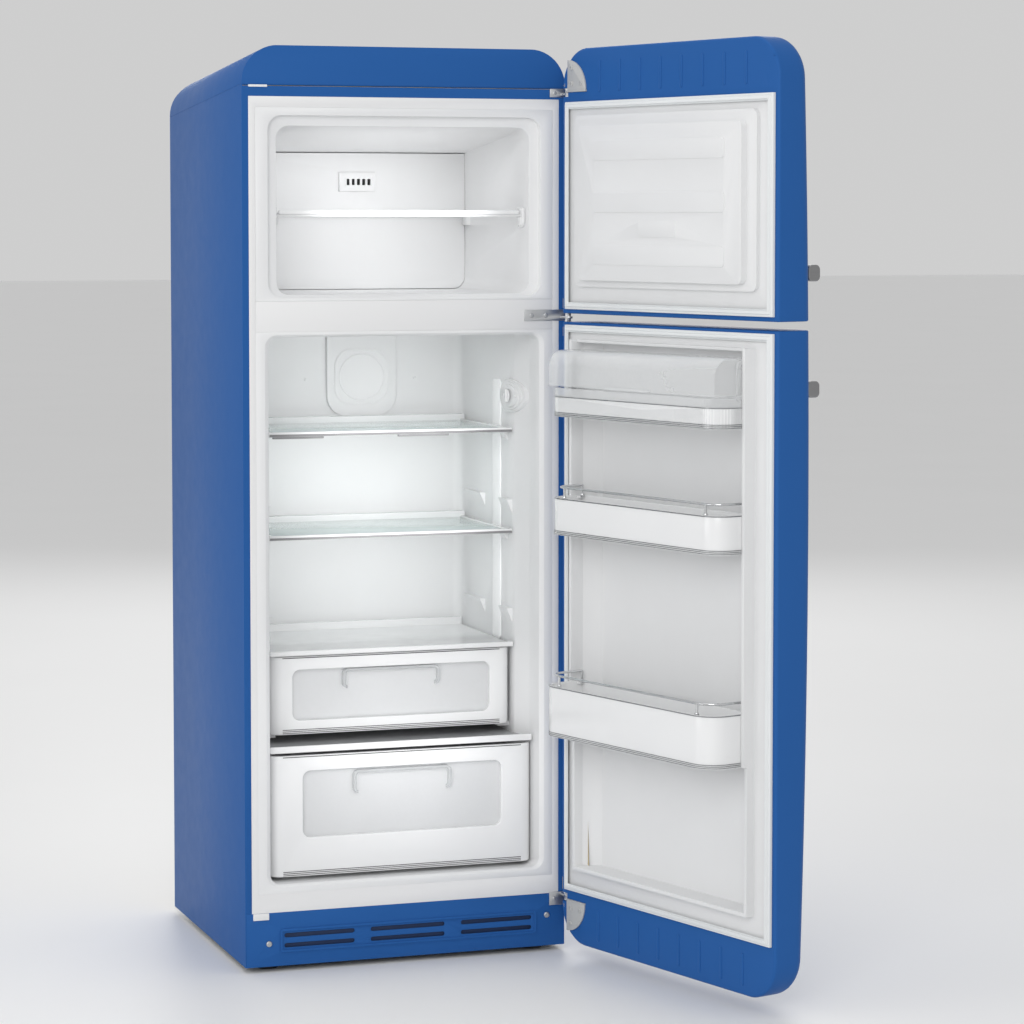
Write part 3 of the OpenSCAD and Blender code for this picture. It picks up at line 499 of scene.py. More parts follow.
# painted shade: the dark blue seen inside the kick plate's slots
kickSlotShade = moulding("painted shade in kick slots", dark=(0.006, 0.022, 0.075), pale=(0.009, 0.028, 0.09),
    rough=0.6, grain=300, depth=0.0003)
blackEnamel = enamel("black enamel", dark=(0.008, 0.008, 0.009), pale=(0.014, 0.014, 0.016),
    rough=0.28, coat=0.2, grain=420, depth=0.0004)
rubber = moulding("rubber", dark=(0.014, 0.014, 0.014), pale=(0.026, 0.026, 0.026), rough=0.62,
    grain=260, depth=0.0006)
gasketPvc = moulding("soft gasket", dark=(0.76, 0.78, 0.79), pale=(0.81, 0.83, 0.835), rough=0.46,
    grain=600, depth=0.0003)
foam = moulding("polyurethane foam", dark=(0.72, 0.58, 0.33), pale=(0.82, 0.70, 0.45), rough=0.8,
    grain=240, depth=0.002)
fanPlastic = moulding("fan plastic", dark=(0.62, 0.62, 0.62), pale=(0.68, 0.68, 0.68), rough=0.4,
    grain=500, depth=0.0002)
lightPanel = moulding("light diffuser", dark=(0.95, 0.96, 0.97), pale=(1.0, 1.0, 1.0), rough=0.3,
    grain=300, depth=0.0002)
lightPanel.shader.inputs["Emission Color"].default_value = (1, 1, 1, 1)
lightPanel.shader.inputs["Emission Strength"].default_value = 0.04

galvanised = Finish("galvanised sheet", {"Metallic": 0.9})
spangle = galvanised.node("ShaderNodeTexVoronoi", {}, {"Vector": galvanised.place, "Scale": 55.0},
    "Color")
spangleGrey = galvanised.node("ShaderNodeSeparateColor", {}, {0: spangle}, "Red")
galvanised.feed("Base Color",
    galvanised.blend(spangleGrey, (0.44, 0.45, 0.46), (0.58, 0.59, 0.60)))
galvanised.feed("Roughness", 0.36 + 0.2 * spangleGrey)
galvanised.bump(galvanised.noise(30, 3), 0.1, 0.0005)
print("finishes mixed")

floorSize = 120
bpy.ops.mesh.primitive_plane_add(size=floorSize, location=(0, 0, 0))
floor = bpy.context.object
floor.name = "studio_floor"
floorFinish = Finish("studio floor", {"Roughness": 0.45})
floorFinish.feed("Base Color", floorFinish.blend(floorFinish.noise(1.2, 4), (0.86, 0.86, 0.86),
    (0.89, 0.89, 0.89)))
floor.data.materials.append(floorFinish.material)
floor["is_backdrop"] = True

# ---- cabinet ----

eased = [  # CAD part, piece, how far its edges are eased, slot, finish
    ("cabinet_shell", "painted_cabinet", 0.0006, "body_paint", bluePaint),
    ("top_cover", "rounded_top_cover", 0.006, "body_paint", bluePaint),
    ("kick_plate", "slotted_kick_plate", 0.0006, "body_paint", bluePaint),
    ("front_frame", "front_face_frame", 0.0004, "white_frame", whitePaint),
    ("mullion_cover", "mullion_cover_strip", 0.0008, "white_frame", whitePaint),
    ("freezer_liner", "freezer_liner_moulding", 0.003, "white_liner", liner),
    ("fridge_liner", "fridge_liner_moulding", 0.003, "white_liner", liner),
    ("evaporator_cover", "freezer_back_wall", 0.001, "white_liner", liner),
    ("back_panel", "rear_sheet", 0.0004, "galvanised", galvanised),
    ("base_tray", "base_pan", 0.0004, "galvanised", galvanised),
    ("drip_tray", "evaporation_tray", 0.0012, "fan_plastic", fanPlastic),
    ("terminal_box", "relay_box", 0.002, "black_plastic", black),
    ("compressor", "compressor_shell", 0.003, "black_enamel", blackEnamel),
    ("compressor_mounts", "rubber_mounts", 0.0012, "black_rubber", rubber),
    ("top_hinge_bracket", "top_hinge_arm", 0.0006, "hinge_metal", zinc),
    ("middle_hinge_bracket", "middle_hinge_arm", 0.0006, "hinge_metal", zinc),
    ("bottom_hinge_bracket", "bottom_hinge_arm", 0.0006, "hinge_metal", zinc),
    ("evaporator", "evaporator_fins", 0, "fin_metal", zinc),
    ("fan_motor", "fan_motor_can", 0.001, "black_plastic", black),
    ("foam_insulation", "cabinet_foam", 0, "foam", foam),
    ("condenser_tube", "condenser_pipe", 0, "black_enamel", blackEnamel),
    ("condenser_wires", "condenser_grid", 0, "black_enamel", blackEnamel),
]
for node, name, ease, slotName, finish in eased:
    fit(fromNode(node, name, ease), "cabinet", slotName, finish, node)

moving = [
    ("crisper_shelf", "crisper_shelf_moulding", 0.0015, "crisper_shelf", "white_gloss",
        glossWhite),
    ("fan_blade", "fan_wheel", 0.0004, "fan", "fan_plastic", fanPlastic),
    ("left_foot", "levelling_foot_left", 0.0015, "left_foot", "black_plastic", black),
    ("right_foot", "levelling_foot_right", 0.0015, "right_foot", "black_plastic", black),
    ("left_roller", "rear_roller_left", 0.0015, "left_roller", "black_plastic", rubber),
    ("right_roller", "rear_roller_right", 0.0015, "right_roller", "black_plastic", rubber),
    ("upper_shelf_glass", "upper_glass", 0.0008, "upper_shelf", "shelf_glass", glass),
    ("lower_shelf_glass", "lower_glass", 0.0008, "lower_shelf", "shelf_glass", glass),
    ("freezer_door_foam", "upper_door_foam", 0, "freezer_door", "foam", foam),
    ("fridge_door_foam", "lower_door_foam", 0, "fridge_door", "foam", foam),
    ("freezer_door_liner", "upper_door_liner", 0.0014, "freezer_door", "white_liner", doorLiner),
    ("fridge_door_liner", "lower_door_liner", 0.0025, "fridge_door", "white_liner", doorLiner),
]
for node, name, ease, body, slotName, finish in moving:
    piece = fromNode(node, name, ease)
    if finish is foam:  # stays behind the painted shell
        with Editing(piece):
            bpy.ops.mesh.select_all(action="SELECT")
            bpy.ops.transform.shrink_fatten(value=-0.008)
    fit(piece, body, slotName, finish, node)
print("cabinet and plain parts done")


recess = {"arm": 0.55, "width": 0.13, "deep": 0.45}  # of the head's radius and height


def addScrew(name, at, looks, radius=0.0045, height=0.0022):  # domed head, cross recess
    head = addRod(name, (0, 0, 0), (0, 0, height), radius, 24)
    with Editing(head, "EDGE") as edit:
        edit.pick(lambda edge: all(vert.co.z > height / 2 for vert in edge.verts))
        bpy.ops.mesh.bevel(offset=height * 0.75, segments=4)
    arm, width = radius * recess["arm"], radius * recess["width"]
    deep = height * recess["deep"]
    cutOut(head, addBlock("slot", (-arm, -width, height - deep), (arm, width, height + 0.001)))
    cutOut(head, addBlock("slot", (-width, -arm, height - deep), (width, arm, height + 0.001)))
    head.rotation_euler = Vector(looks).to_track_quat("Z", "Y").to_euler()
    head.location = at
    return smooth(settle(head))


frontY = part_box("front_frame")[0].y
toFront = (0, -1, 0)
kickScrews = {"places": [(-0.257, 0.0505), (0.2655, 0.0665)], "radius": 0.0055, "height": 0.0024}
plateScrews = [addScrew("kick_screw", (x, frontY, z), toFront, kickScrews["radius"],
    kickScrews["height"]) for x, z in kickScrews["places"]]
fit(together("kick_plate_screws", plateScrews), "cabinet", "hinge_metal", zinc, "cabinet_screws")
hingeArms = {"proud": 0.0025, "middle": [(0.235, 1.161), (0.262, 1.161)], "middleRadius": 0.0042,
    "ends": [(0.279, 1.5605), (0.279, 0.096)], "endRadius": 0.0036}
armScrews = [addScrew("arm_screw", (x, frontY - hingeArms["proud"], z), toFront, radius)
    for radius, places in ((hingeArms["middleRadius"], hingeArms["middle"]),
        (hingeArms["endRadius"], hingeArms["ends"])) for x, z in places]
fit(together("hinge_arm_screws", armScrews), "cabinet", "hinge_metal", zinc)

plugs = {"proud": 0.002, "corner": 0.0012, "ease": 0.0005,
    "spans": [((-0.288, 1.565), (-0.254, 1.569)), ((-0.286, 0.094), (-0.257, 0.106))]}
plugParts = [soften(addPlate("plug", "y", (frontY - plugs["proud"], frontY), low, high,
    plugs["corner"], 3), plugs["ease"]) for low, high in plugs["spans"]]
fit(together("hinge_hole_plugs", plugParts), "cabinet", "white_liner", liner, "hinge_hole_caps")

# a dark blue block behind the kick plate's slots: painted shade seen through the slots
slotShadeBox = {"low": (-0.236, frontY + 0.004, 0.036), "high": (0.244, frontY + 0.006, 0.074)}
slotShadePiece = addBlock("painted_shade_behind_kick_slots", slotShadeBox["low"], slotShadeBox["high"])
fit(soften(slotShadePiece, 0.001), "cabinet", "black_plastic", kickSlotShade)

# round air duct panel on the fridge's back wall
duct = {"middle": 0.033, "half": 0.068, "low": 0.960, "high": 1.112, "corner": 0.04,
    "sunk": 0.004, "root": 0.001, "ring": 1.035, "ringHalf": 0.054, "ringCorner": 0.034,
    "ringProud": 0.0018, "disc": 0.0455, "discProud": 0.0022, "screws": (-0.075, 0.141),
    "screwZ": 1.031, "screwRadius": 0.003, "screwHeight": 0.0015}
ductLow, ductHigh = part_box("duct_cover")
ductFace = ductLow.y + duct["sunk"]
panel = addPlate("duct", "y", (ductFace, ductHigh.y), (duct["middle"] - duct["half"], duct["low"]),
    (duct["middle"] + duct["half"], duct["high"]), (duct["corner"], duct["corner"], 0.002, 0.002),
    12)
soften(panel, 0.0012, 3)
ring = addPlate("ring", "y", (ductFace - duct["ringProud"], ductFace + duct["root"]),
    (duct["middle"] - duct["ringHalf"], duct["ring"] - duct["ringHalf"]),
    (duct["middle"] + duct["ringHalf"], duct["ring"] + duct["ringHalf"]), duct["ringCorner"], 12)
with Editing(ring) as edit:
    edit.pick(lambda face: faces(face, y=-1))
    bpy.ops.mesh.inset(thickness=0.004)
    bpy.ops.mesh.inset(thickness=0.001, depth=-0.0012)
soften(ring, 0.0005)
disc = addRod("disc", (duct["middle"], ductFace + duct["root"], duct["ring"]),
    (duct["middle"], ductFace - duct["discProud"], duct["ring"]), duct["disc"], 64)
with Editing(disc) as edit:
    edit.pick(lambda face: faces(face, y=-1))
    bpy.ops.mesh.inset(thickness=0.002)
    bpy.ops.mesh.inset(thickness=0.001, depth=-0.0012)
soften(disc, 0.0005)
ductScrews = [addScrew("duct_screw", (x, ductHigh.y, duct["screwZ"]), toFront,
    duct["screwRadius"], duct["screwHeight"]) for x in duct["screws"]]
fit(together("air_duct_cover", [panel, ring, disc] + ductScrews), "cabinet", "white_liner", liner,
    "duct_cover")

# air outlet on the freezer's back wall
outlet = {"x": (-0.016, 0.056), "z": (1.386, 1.422), "proud": 0.003, "root": 0.001,
    "slots": 5, "first": 0.014, "step": 0.0103, "slotWide": 0.0062, "slotZ": (1.3975, 1.4095),
    "outletShadeBox": ((0.008, 0.0072, 1.394), (-0.006, 0.009, 1.414))}
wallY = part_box("evaporator_cover")[0].y
vent = addPlate("vent", "y", (wallY - outlet["proud"], wallY + outlet["root"]),
    (outlet["x"][0], outlet["z"][0]), (outlet["x"][1], outlet["z"][1]), 0.003, 4)
for index in range(outlet["slots"]):
    x = outlet["x"][0] + outlet["first"] + outlet["step"] * index
    cutOut(vent, addPlate("slot", "y", (wallY - 0.006, wallY + 0.004), (x, outlet["slotZ"][0]),
        (x + outlet["slotWide"], outlet["slotZ"][1]), 0.0012, 3))
soften(vent, 0.0006)
fit(vent, "cabinet", "white_liner", liner)
# a dark block behind the vent slots: painted shade inside the outlet
outletShadeBox = [(x + dx, wallY + dy, z) for x, (dx, dy, z) in zip(outlet["x"], outlet["outletShadeBox"])]
fit(addBlock("painted_shade_behind_outlet", *outletShadeBox), "cabinet", "black_plastic", shadow)

# thermostat bezel and knob on the right wall
dial = {
    "ovals": [(0.050, 0.031, 0), (0.042, 0.026, 0.0008), (0.033, 0.021, 0.0016)],
    "thick": 0.018, "dots": 0.024, "dotRadius": 0.0028, "dotProud": 0.0022,
    "flareFrom": 0.090, "flareRise": 15.5 / 40, "knobRadius": 0.013, "knobBack": 0.0019,
    "knobFace": 0.0026, "gripWide": 0.003, "gripTall": 0.0118, "spindle": 0.003,
}
knobLow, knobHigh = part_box("control_knob")
bezelLow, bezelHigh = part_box("control_housing")
knobMiddle = (knobLow + knobHigh) / 2
steps = []
for halfLong, halfTall, lift in dial["ovals"]:  # low rings, one on another
    bpy.ops.mesh.primitive_cylinder_add(vertices=64, radius=1, depth=1,
        location=(bezelLow.x - lift + dial["thick"] / 2, knobMiddle.y, knobMiddle.z),
        rotation=(0, math.pi / 2, 0))
    oval = bpy.context.object
    oval.scale = (halfTall, halfLong, dial["thick"])
    steps.append(soften(settle(oval), 0.0006))
for side in (-1, 1):
    y = knobMiddle.y + side * dial["dots"]
    dot = addRod("dot", (bezelLow.x + 0.003, y, knobMiddle.z),
        (bezelLow.x - dial["dotProud"], y, knobMiddle.z), dial["dotRadius"], 20)
    steps.append(soften(dot, 0.0004))
bezel = together("thermostat_bezel", steps)
flareFrom = frontY + dial["flareFrom"]
for vert in bezel.data.vertices:  # follows the wall where it widens to the mouth
    vert.co.x += max(0, flareFrom - vert.co.y) * dial["flareRise"]
fit(bezel, "cabinet", "white_liner", glossWhite, "control_housing")
knobFace = knobLow.x + dial["knobFace"]
knob = addRod("thermostat_knob", (bezelLow.x - dial["knobBack"], *knobMiddle.yz),
    (knobFace, *knobMiddle.yz), dial["knobRadius"], 48)
soften(knob, 0.0014, 3)
gripWide, gripTall = dial["gripWide"], dial["gripTall"]
grip = addPlate("grip", "x", (knobLow.x + 0.0002, knobFace + 0.002),
    (knobMiddle.y - gripWide, knobMiddle.z - gripTall),
    (knobMiddle.y + gripWide, knobMiddle.z + gripTall), 0.0028, 6)
soften(grip, 0.0011, 3)
spindle = addRod("spindle", (knobHigh.x, *knobMiddle.yz), (knobFace + 0.004, *knobMiddle.yz),
    dial["spindle"], 20)
fit(together("thermostat_knob", [knob, grip, spindle]), "control_knob", "white_gloss", glossWhite,
    "control_knob")

# lamp cover down the right wall, with fine flutes
lampLow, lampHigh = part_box("light_column")
lampCover = addPlate("lamp_cover", "x", (lampLow.x, lampHigh.x), (lampLow.y, lampLow.z),
    (lampHigh.y, lampHigh.z), 0.008, 8)
soften(lampCover, 0.001, 3)
flute = {"count": 5, "radius": 0.0006, "end": 0.012}
lampParts = [lampCover]
for index in range(flute["count"]):
    y = lampLow.y + (index + 1) * (lampHigh.y - lampLow.y) / (flute["count"] + 1)
    x = lampLow.x + flute["radius"]
    lampParts.append(smooth(addRod("flute", (x, y, lampLow.z + flute["end"]),
        (x, y, lampHigh.z - flute["end"]), flute["radius"], 8), 50))
fit(together("lamp_cover", lampParts), "cabinet", "clear_plastic", lightPanel, "light_column")
print("fittings on the walls done")

# ---- shelves ----


trim = {"glassTop": 0.011, "frontLift": 0.002, "front": 0.014, "rear": 0.016, "side": 0.010,
    "over": 0.002, "edgeProud": 0.0008, "edgeZ": (0.0004, 0.0046), "edgeEnd": 0.001,
    "barY": (0.0012, 0.008), "barZ": (-0.0038, 0.0012)}


def addShelfTrim(name, node, body, bars):
    low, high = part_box(node)
    top = high.z - trim["glassTop"] + trim["over"]
    frontLow = low.z + trim["frontLift"]
    front = addPlate("front", "y", (low.y, low.y + trim["front"]), (low.x, frontLow),
        (high.x, top), 0.0026, 5)
    rear = addPlate("rear", "y", (high.y - trim["rear"], high.y), (low.x, low.z),
        (high.x, high.z), 0.003, 5)
    sides = [addPlate("side", "y", (low.y + trim["front"], high.y - trim["rear"]), (x, low.z),
        (x + trim["side"], top), 0.002, 4) for x in (low.x, high.x - trim["side"])]
    frame = together(name, [soften(part, 0.0006) for part in (front, rear, *sides)])
    edging = addPlate(name + "_edging", "y", (low.y - trim["edgeProud"], low.y + 0.002),
        (low.x + trim["edgeEnd"], frontLow + trim["edgeZ"][0]),
        (high.x - trim["edgeEnd"], frontLow + trim["edgeZ"][1]), 0.001, 3)
    fit(frame, body, "shelf_trim", glossWhite, node)
    fit(soften(edging, 0.0004), body, "shelf_trim", shelfEdge)
    for index, (start, end) in enumerate(bars):
        bar = addPlate(f"{name}_bar_{index + 1}", "y", [low.y + y for y in trim["barY"]],
            (start, frontLow + trim["barZ"][0]), (end, frontLow + trim["barZ"][1]), 0.001, 3)
        fit(soften(bar, 0.0005), body, "shelf_trim", shelfEdge)


addShelfTrim("upper_shelf_frame", "upper_shelf_trim", "upper_shelf",
    [(-0.222, -0.128), (0.012, 0.108)])
addShelfTrim("lower_shelf_frame", "lower_shelf_trim", "lower_shelf", [])

fit(fromNode("drawer_cover", "drawer_cover_pane", 0.0008), "drawer_cover", "clear_plastic",
    greyPane, "drawer_cover")
coverLow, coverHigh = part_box("drawer_cover")
lipProud, lipDeep = Vector((0.0003, 0.0004, 0.0003)), 0.005
coverLip = addPlate("drawer_cover_lip", "y", (coverLow.y - lipProud.y, coverLow.y + lipDeep),
    (coverLow.x - lipProud.x, coverLow.z - lipProud.z),
    (coverHigh.x + lipProud.x, coverHigh.z + 0.0004), 0.002, 4)
fit(soften(coverLip, 0.0012, 3), "drawer_cover", "white_gloss", glossWhite)

# wire shelf in the freezer
wire = {"count": 19, "long": 0.0016, "cross": 0.0026, "half": 0.216, "lift": 0.0032,
    "start": 0.005, "crossAt": (0.007, 0.008), "barHalf": 0.224, "bar": (0.006, 0.0072),
    "bracketX": (0.2285, 0.2345), "bracketY": (-0.004, 0.024), "bracketZ": (-0.022, 0.014)}
wireLow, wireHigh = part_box("freezer_shelf")
crossZ = wireLow.z + wire["cross"]
wires = []
for index in range(wire["count"]):
    x = -wire["half"] + 2 * wire["half"] * index / (wire["count"] - 1)
    wires.append(smooth(addRod("wire", (x, wireLow.y + wire["start"], crossZ + wire["lift"]),
        (x, wireHigh.y, crossZ + wire["lift"]), wire["long"], 10), 60))
for y in (wireLow.y + wire["crossAt"][0], (wireLow.y + wireHigh.y) / 2,
        wireHigh.y - wire["crossAt"][1]):
    wires.append(smooth(addRod("wire", (wireLow.x, y, crossZ), (wireHigh.x, y, crossZ),
        wire["cross"], 14), 60))
barDeep, barTall = wire["bar"]
frontBar = addPlate("bar", "y", (wireLow.y, wireLow.y + barDeep),
    (-wire["barHalf"], wireHigh.z - barTall), (wire["barHalf"], wireHigh.z), 0.0028, 6)
wires.append(soften(frontBar, 0.001, 3))
fit(together("freezer_wire_shelf", wires), "freezer_shelf", "white_gloss", glossWhite,
    "freezer_shelf")
(bracketFront, bracketBack), (bracketFoot, bracketTop) = wire["bracketY"], wire["bracketZ"]
brackets = [addPlate("bracket", "x", sorted(side * x for x in wire["bracketX"]),
    (wireLow.y + bracketFront, crossZ + bracketFoot), (wireLow.y + bracketBack,
    crossZ + bracketTop), (0.012, 0.012, 0.003, 0.003), 6) for side in (-1, 1)]
fit(together("wire_shelf_brackets", [soften(bracket, 0.0014, 3) for bracket in brackets]),
    "cabinet", "white_liner", glossWhite)
print("shelves done")

# ---- drawers ----

drawers = {"upper": {"boxHalf": 0.220, "window": (0.432, 0.524)},
    "lower": {"boxHalf": 0.222, "window": (0.232, 0.352)}}
tub = {"lift": 0.004, "rim": 0.006, "wrap": 0.022, "panel": 0.010, "wall": 0.003,
    "windowHalf": 0.187, "windowCorner": 0.014, "pane": (0.0118, 0.0135), "lap": 0.002,
    "lineProud": 0.0003, "lines": [(0.0022, 0.0034), (0.0052, 0.0064), (0.0082, 0.0094)],
    "topLine": (-0.0030, -0.0016), "grip": 0.010, "gripWall": 0.005}

for which, drawer in drawers.items():
    node = f"{which}_drawer"
    low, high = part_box(node)
    face = low.y
    wrap, panel, wall = (tub[key] for key in ("wrap", "panel", "wall"))
    front = addPlate("front", "z", (low.z, high.z), (low.x, face),
        (high.x, face + wrap + 0.003), (wrap, wrap, 0, 0), 12)
    cutOut(front, addPlate("hollow", "z", (low.z - 0.01, high.z + 0.01),
        (low.x + panel, face + panel), (high.x - panel, face + 0.04),
        (wrap - panel, wrap - panel, 0, 0), 12))
    lap, windowHalf = tub["lap"], tub["windowHalf"]
    windowLow, windowHigh = ((side * windowHalf, z) for side, z in zip((-1, 1), drawer["window"]))

    def windowPlate(name, start, end, grow=0):
        return addPlate(name, "y", (face + start, face + end),
            (windowLow[0] - grow, windowLow[1] - grow), (windowHigh[0] + grow,
            windowHigh[1] + grow), tub["windowCorner"], 8)

    cutOut(front, windowPlate("hole", -0.01, 0.02))
    soften(front, 0.0018, 3)
    trayLow, trayHigh = low.z + tub["lift"], high.z - tub["rim"]
    tray = addBlock("tray", (-drawer["boxHalf"], face + 0.009, trayLow),
        (drawer["boxHalf"], high.y, trayHigh))
    hollow(tray, lambda face: faces(face, z=1), wall, (0, 0, trayLow + wall - trayHigh))
    cutOut(tray, windowPlate("hole", -0.01, 0.03))
    soften(tray, 0.0012, 2)
    fit(together(f"{which}_drawer_moulding", [front, tray]), node, "white_gloss", glossWhite, node)
    pane = windowPlate(f"{which}_drawer_window", *tub["pane"], lap)
    fit(smooth(pane), node, "clear_plastic", frosted)
    levels = [(low.z + start, low.z + end) for start, end in tub["lines"]]
    levels.append(tuple(high.z + drop for drop in tub["topLine"]))
    stripes = [smooth(addPlate("line", "y", (face - tub["lineProud"], face + 0.002),
        (low.x + wrap, start), (high.x - wrap, end), 0.0004, 2)) for start, end in levels]
    fit(together(f"{which}_drawer_lines", stripes), node, "shelf_trim", darkLine)
    # hood-shaped clear grip hanging in the window
    gripLow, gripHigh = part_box(f"{which}_drawer_handle")
    hood = addPlate(f"{which}_drawer_grip", "y", (gripLow.y, gripHigh.y),
        (gripLow.x, gripLow.z), (gripHigh.x, gripHigh.z), tub["grip"], 8)
    gripWall = tub["gripWall"]
    hollow(hood, lambda face: faces(face, y=-1), gripWall,
        (0, gripHigh.y - gripLow.y - gripWall, 0))
    cutOut(hood, addBlock("mouth", (gripLow.x + 0.008, gripLow.y - 0.002, gripLow.z - 0.002),
        (gripHigh.x - 0.008, gripHigh.y - 0.004, gripLow.z + 0.006)))
    soften(hood, 0.0011, 3)
    fit(hood, node, "clear_plastic", gripClear, f"{which}_drawer_handle")
print("drawers done")

# ---- doors, made closed and then swung open ----

doorShape = {"left": -0.303, "right": 0.305, "back": -0.285, "thick": 0.052, "bow": 0.015,
    "corner": 0.070, "edge": 0.022, "inner": 0.005, "low": 0.024, "high": 1.638}
doors = {
    "freezer": {"body": "freezer_door", "span": (1.165, 1.638), "gasket": (1.173, 1.543),
        "ribs": (1.559, 1.615), "floor": -0.2955, "notch": (1.553, 1.568), "grip": 1.244,
        "plate": (1.561, 1), "edgePlate": [(1.165, 1.168)],
        "pin": [(1.560, 1.592), (1.160, 1.186)]},
    "fridge": {"body": "fridge_door", "span": (0.024, 1.150), "gasket": (0.120, 1.145),
        "ribs": (0.040, 0.096), "floor": -0.3155, "notch": (0.096, 0.112), "grip": 1.048,
        "plate": (0.102, -1), "edgePlate": [(0.108, 0.111), (1.147, 1.150)],
        "pin": [(0.072, 0.134), (1.130, 1.152)]},
}
doorBack = doorShape["back"]
ribShape = {"count": 8, "first": 0.193, "step": 0.0585, "half": 0.0034, "depth": (-0.0022, 0.0014)}
seals = {"x": (-0.294, 0.289), "lip": 0.002, "top": -0.2795, "insets": [  # thick, deep
    (0.0012, 0.0012), (0.0014, 0), (0.0008, -0.0007), (0.0006, 0), (0.0010, 0.0038),
    (0.0046, 0), (0.0010, -0.0044), (0.0008, 0), (0.0006, 0.0014), (0.0008, 0)]}
plates = {"inset": 0.014, "radius": 0.054, "thick": 0.0025, "flange": 0.003, "eye": 0.007,
    "bore": 0.00355, "screws": ((-0.012, 0.012), (-0.040, 0.012), (-0.012, 0.040))}
bar = {"left": -0.252, "right": -0.032, "back": -0.393, "front": -0.419, "half": 0.014,
    "corner": 0.0085, "end": 0.014, "post": 0.0098, "collar": 0.0109}
doorTall = (doorShape["high"] - doorShape["low"]) / 2
doorMiddle = (doorShape["high"] + doorShape["low"]) / 2
bowRadius = (doorTall ** 2 + doorShape["bow"] ** 2) / (2 * doorShape["bow"])


def frontAt(z):  # how far the bowed front stands at a height
    sag = bowRadius - math.sqrt(bowRadius ** 2 - (z - doorMiddle) ** 2)
    return hingeAt.y - doorShape["thick"] - doorShape["bow"] + sag


for which, door in doors.items():
    isTop = which == "freezer"
    low, high = door["span"]
    corner = doorShape["corner"]
    radii = (0, 0, corner, corner) if isTop else (corner, corner, 0, 0)
    crown = hingeAt.y - doorShape["thick"] - doorShape["bow"]
    shell = addPlate(f"{which}_door_shell", "y", (crown, doorBack),
        (doorShape["left"], low), (doorShape["right"], high), radii, 20)
    cuts = 14
    with Editing(shell, "VERT"):
        for index in range(1, cuts):
            bpy.ops.mesh.select_all(action="SELECT")
            bpy.ops.mesh.bisect(plane_co=(0, 0, low + (high - low) * index / cuts),
                plane_no=(0, 0, 1))
    for vert in shell.data.vertices:  # the front follows one bow over both doors
        if vert.co.y < crown + 0.001:
            vert.co.y = frontAt(vert.co.z)
    with Editing(shell, "EDGE") as edit:
        splitZ = low if isTop else high

        def onOutline(edge):
            if len(edge.link_faces) != 2 or edge.calc_face_angle(0) < 0.9:
                return False
            return middleOf(edge).y < crown + 0.02

        edit.pick(lambda edge: onOutline(edge) and abs(middleOf(edge).z - splitZ) > 1e-4)
        bpy.ops.mesh.bevel(offset=doorShape["edge"], segments=8)
        edit.pick(lambda edge: edge.calc_face_angle(0) > 0.9
            and middleOf(edge).y > doorBack - 1e-5
            and abs(middleOf(edge).z - splitZ) > 1e-4)
        bpy.ops.mesh.bevel(offset=doorShape["inner"], segments=5)
        edit.pick(lambda edge: edge.calc_face_angle(0) > 0.9
            and abs(middleOf(edge).z - splitZ) < 1e-4)
        bpy.ops.mesh.bevel(offset=0.0025, segments=3)
    with Editing(shell) as edit:
        edit.pick(lambda face: faces(face, y=1))
        bpy.ops.mesh.dissolve_limited(angle_limit=math.radians(1))
    gasketLow, gasketHigh = door["gasket"]
    cutOut(shell, addBlock("pocket", (-0.278, door["floor"], gasketLow + 0.012),
        (0.274, -0.27, gasketHigh - 0.012)))
    cutOut(shell, addBlock("notch", (0.287, -0.310, door["notch"][0]),
        (0.320, -0.27, door["notch"][1])))
    plateZ, up = door["plate"]
    cutOut(shell, addBlock("slot", (0.231, -0.305, min(plateZ, plateZ + up * 0.003) - 0.0005),
        (0.291, -0.27, max(plateZ, plateZ + up * 0.003) + 0.0005)))
    for start, end in door["pin"]:
        cutOut(shell, addRod("bore", (hingeAt.x, hingeAt.y, start), (hingeAt.x, hingeAt.y, end),
            0.006, 24))
    ribs = []
    for index in range(ribShape["count"]):
        x = ribShape["first"] - ribShape["step"] * index
        rib = addPlate("rib", "y", [doorBack + deep for deep in ribShape["depth"]],
            (x - ribShape["half"], door["ribs"][0]), (x + ribShape["half"], door["ribs"][1]),
            0.0033, 5)
        ribs.append(soften(rib, 0.0013, 3))
    shell = together(f"{which}_door_shell", [smooth(shell, 30)] + ribs)
    fit(swingOpen(shell), door["body"], "body_paint", bluePaint, f"{which}_door_panel")

    # gasket: flat fin, bellows and magnet bead
    seal = addPlate(f"{which}_door_gasket", "y", (doorBack + seals["lip"],
        seals["top"]), (seals["x"][0], gasketLow), (seals["x"][1], gasketHigh))
    with Editing(seal) as edit:
        edit.pick(lambda face: faces(face, y=1))
        for thick, deep in seals["insets"]:
            bpy.ops.mesh.inset(thickness=thick, depth=deep)
        bpy.ops.mesh.delete(type="FACE")
        edit.pick(lambda face: faces(face, y=-1))
        bpy.ops.mesh.delete(type="FACE")
    soften(seal, 0.0005, 2, 40)
    fit(swingOpen(seal), door["body"], "gasket", gasketPvc, f"{which}_door_gasket")

    # quarter-round hinge plate with its flange, screws and edge plates
    plateX, plateR = hingeAt.x - plates["inset"], plates["radius"]
    plateFace = doorBack + plates["thick"]
    foot = plateZ + up * plates["flange"]
    ends = sorted((foot, foot + up * plateR))
    quarter = (0, 0, 0, plateR - 1e-5) if up > 0 else (plateR - 1e-5, 0, 0, 0)
    parts = [addPlate("plate", "y", (doorBack, plateFace), (plateX - plateR, ends[0]),
        (plateX, ends[1]), quarter, 20)]
    flange = sorted((plateZ, foot))
    parts.append(addBlock("flange", (plateX - plateR, hingeAt.y - 0.007, flange[0]),
        (plateX + 0.004, plateFace, flange[1])))

    def pinHole(part, start, end):
        return cutOut(part, addRod("bore", (hingeAt.x, hingeAt.y, start - 0.01),
            (hingeAt.x, hingeAt.y, end + 0.01), plates["bore"], 32))

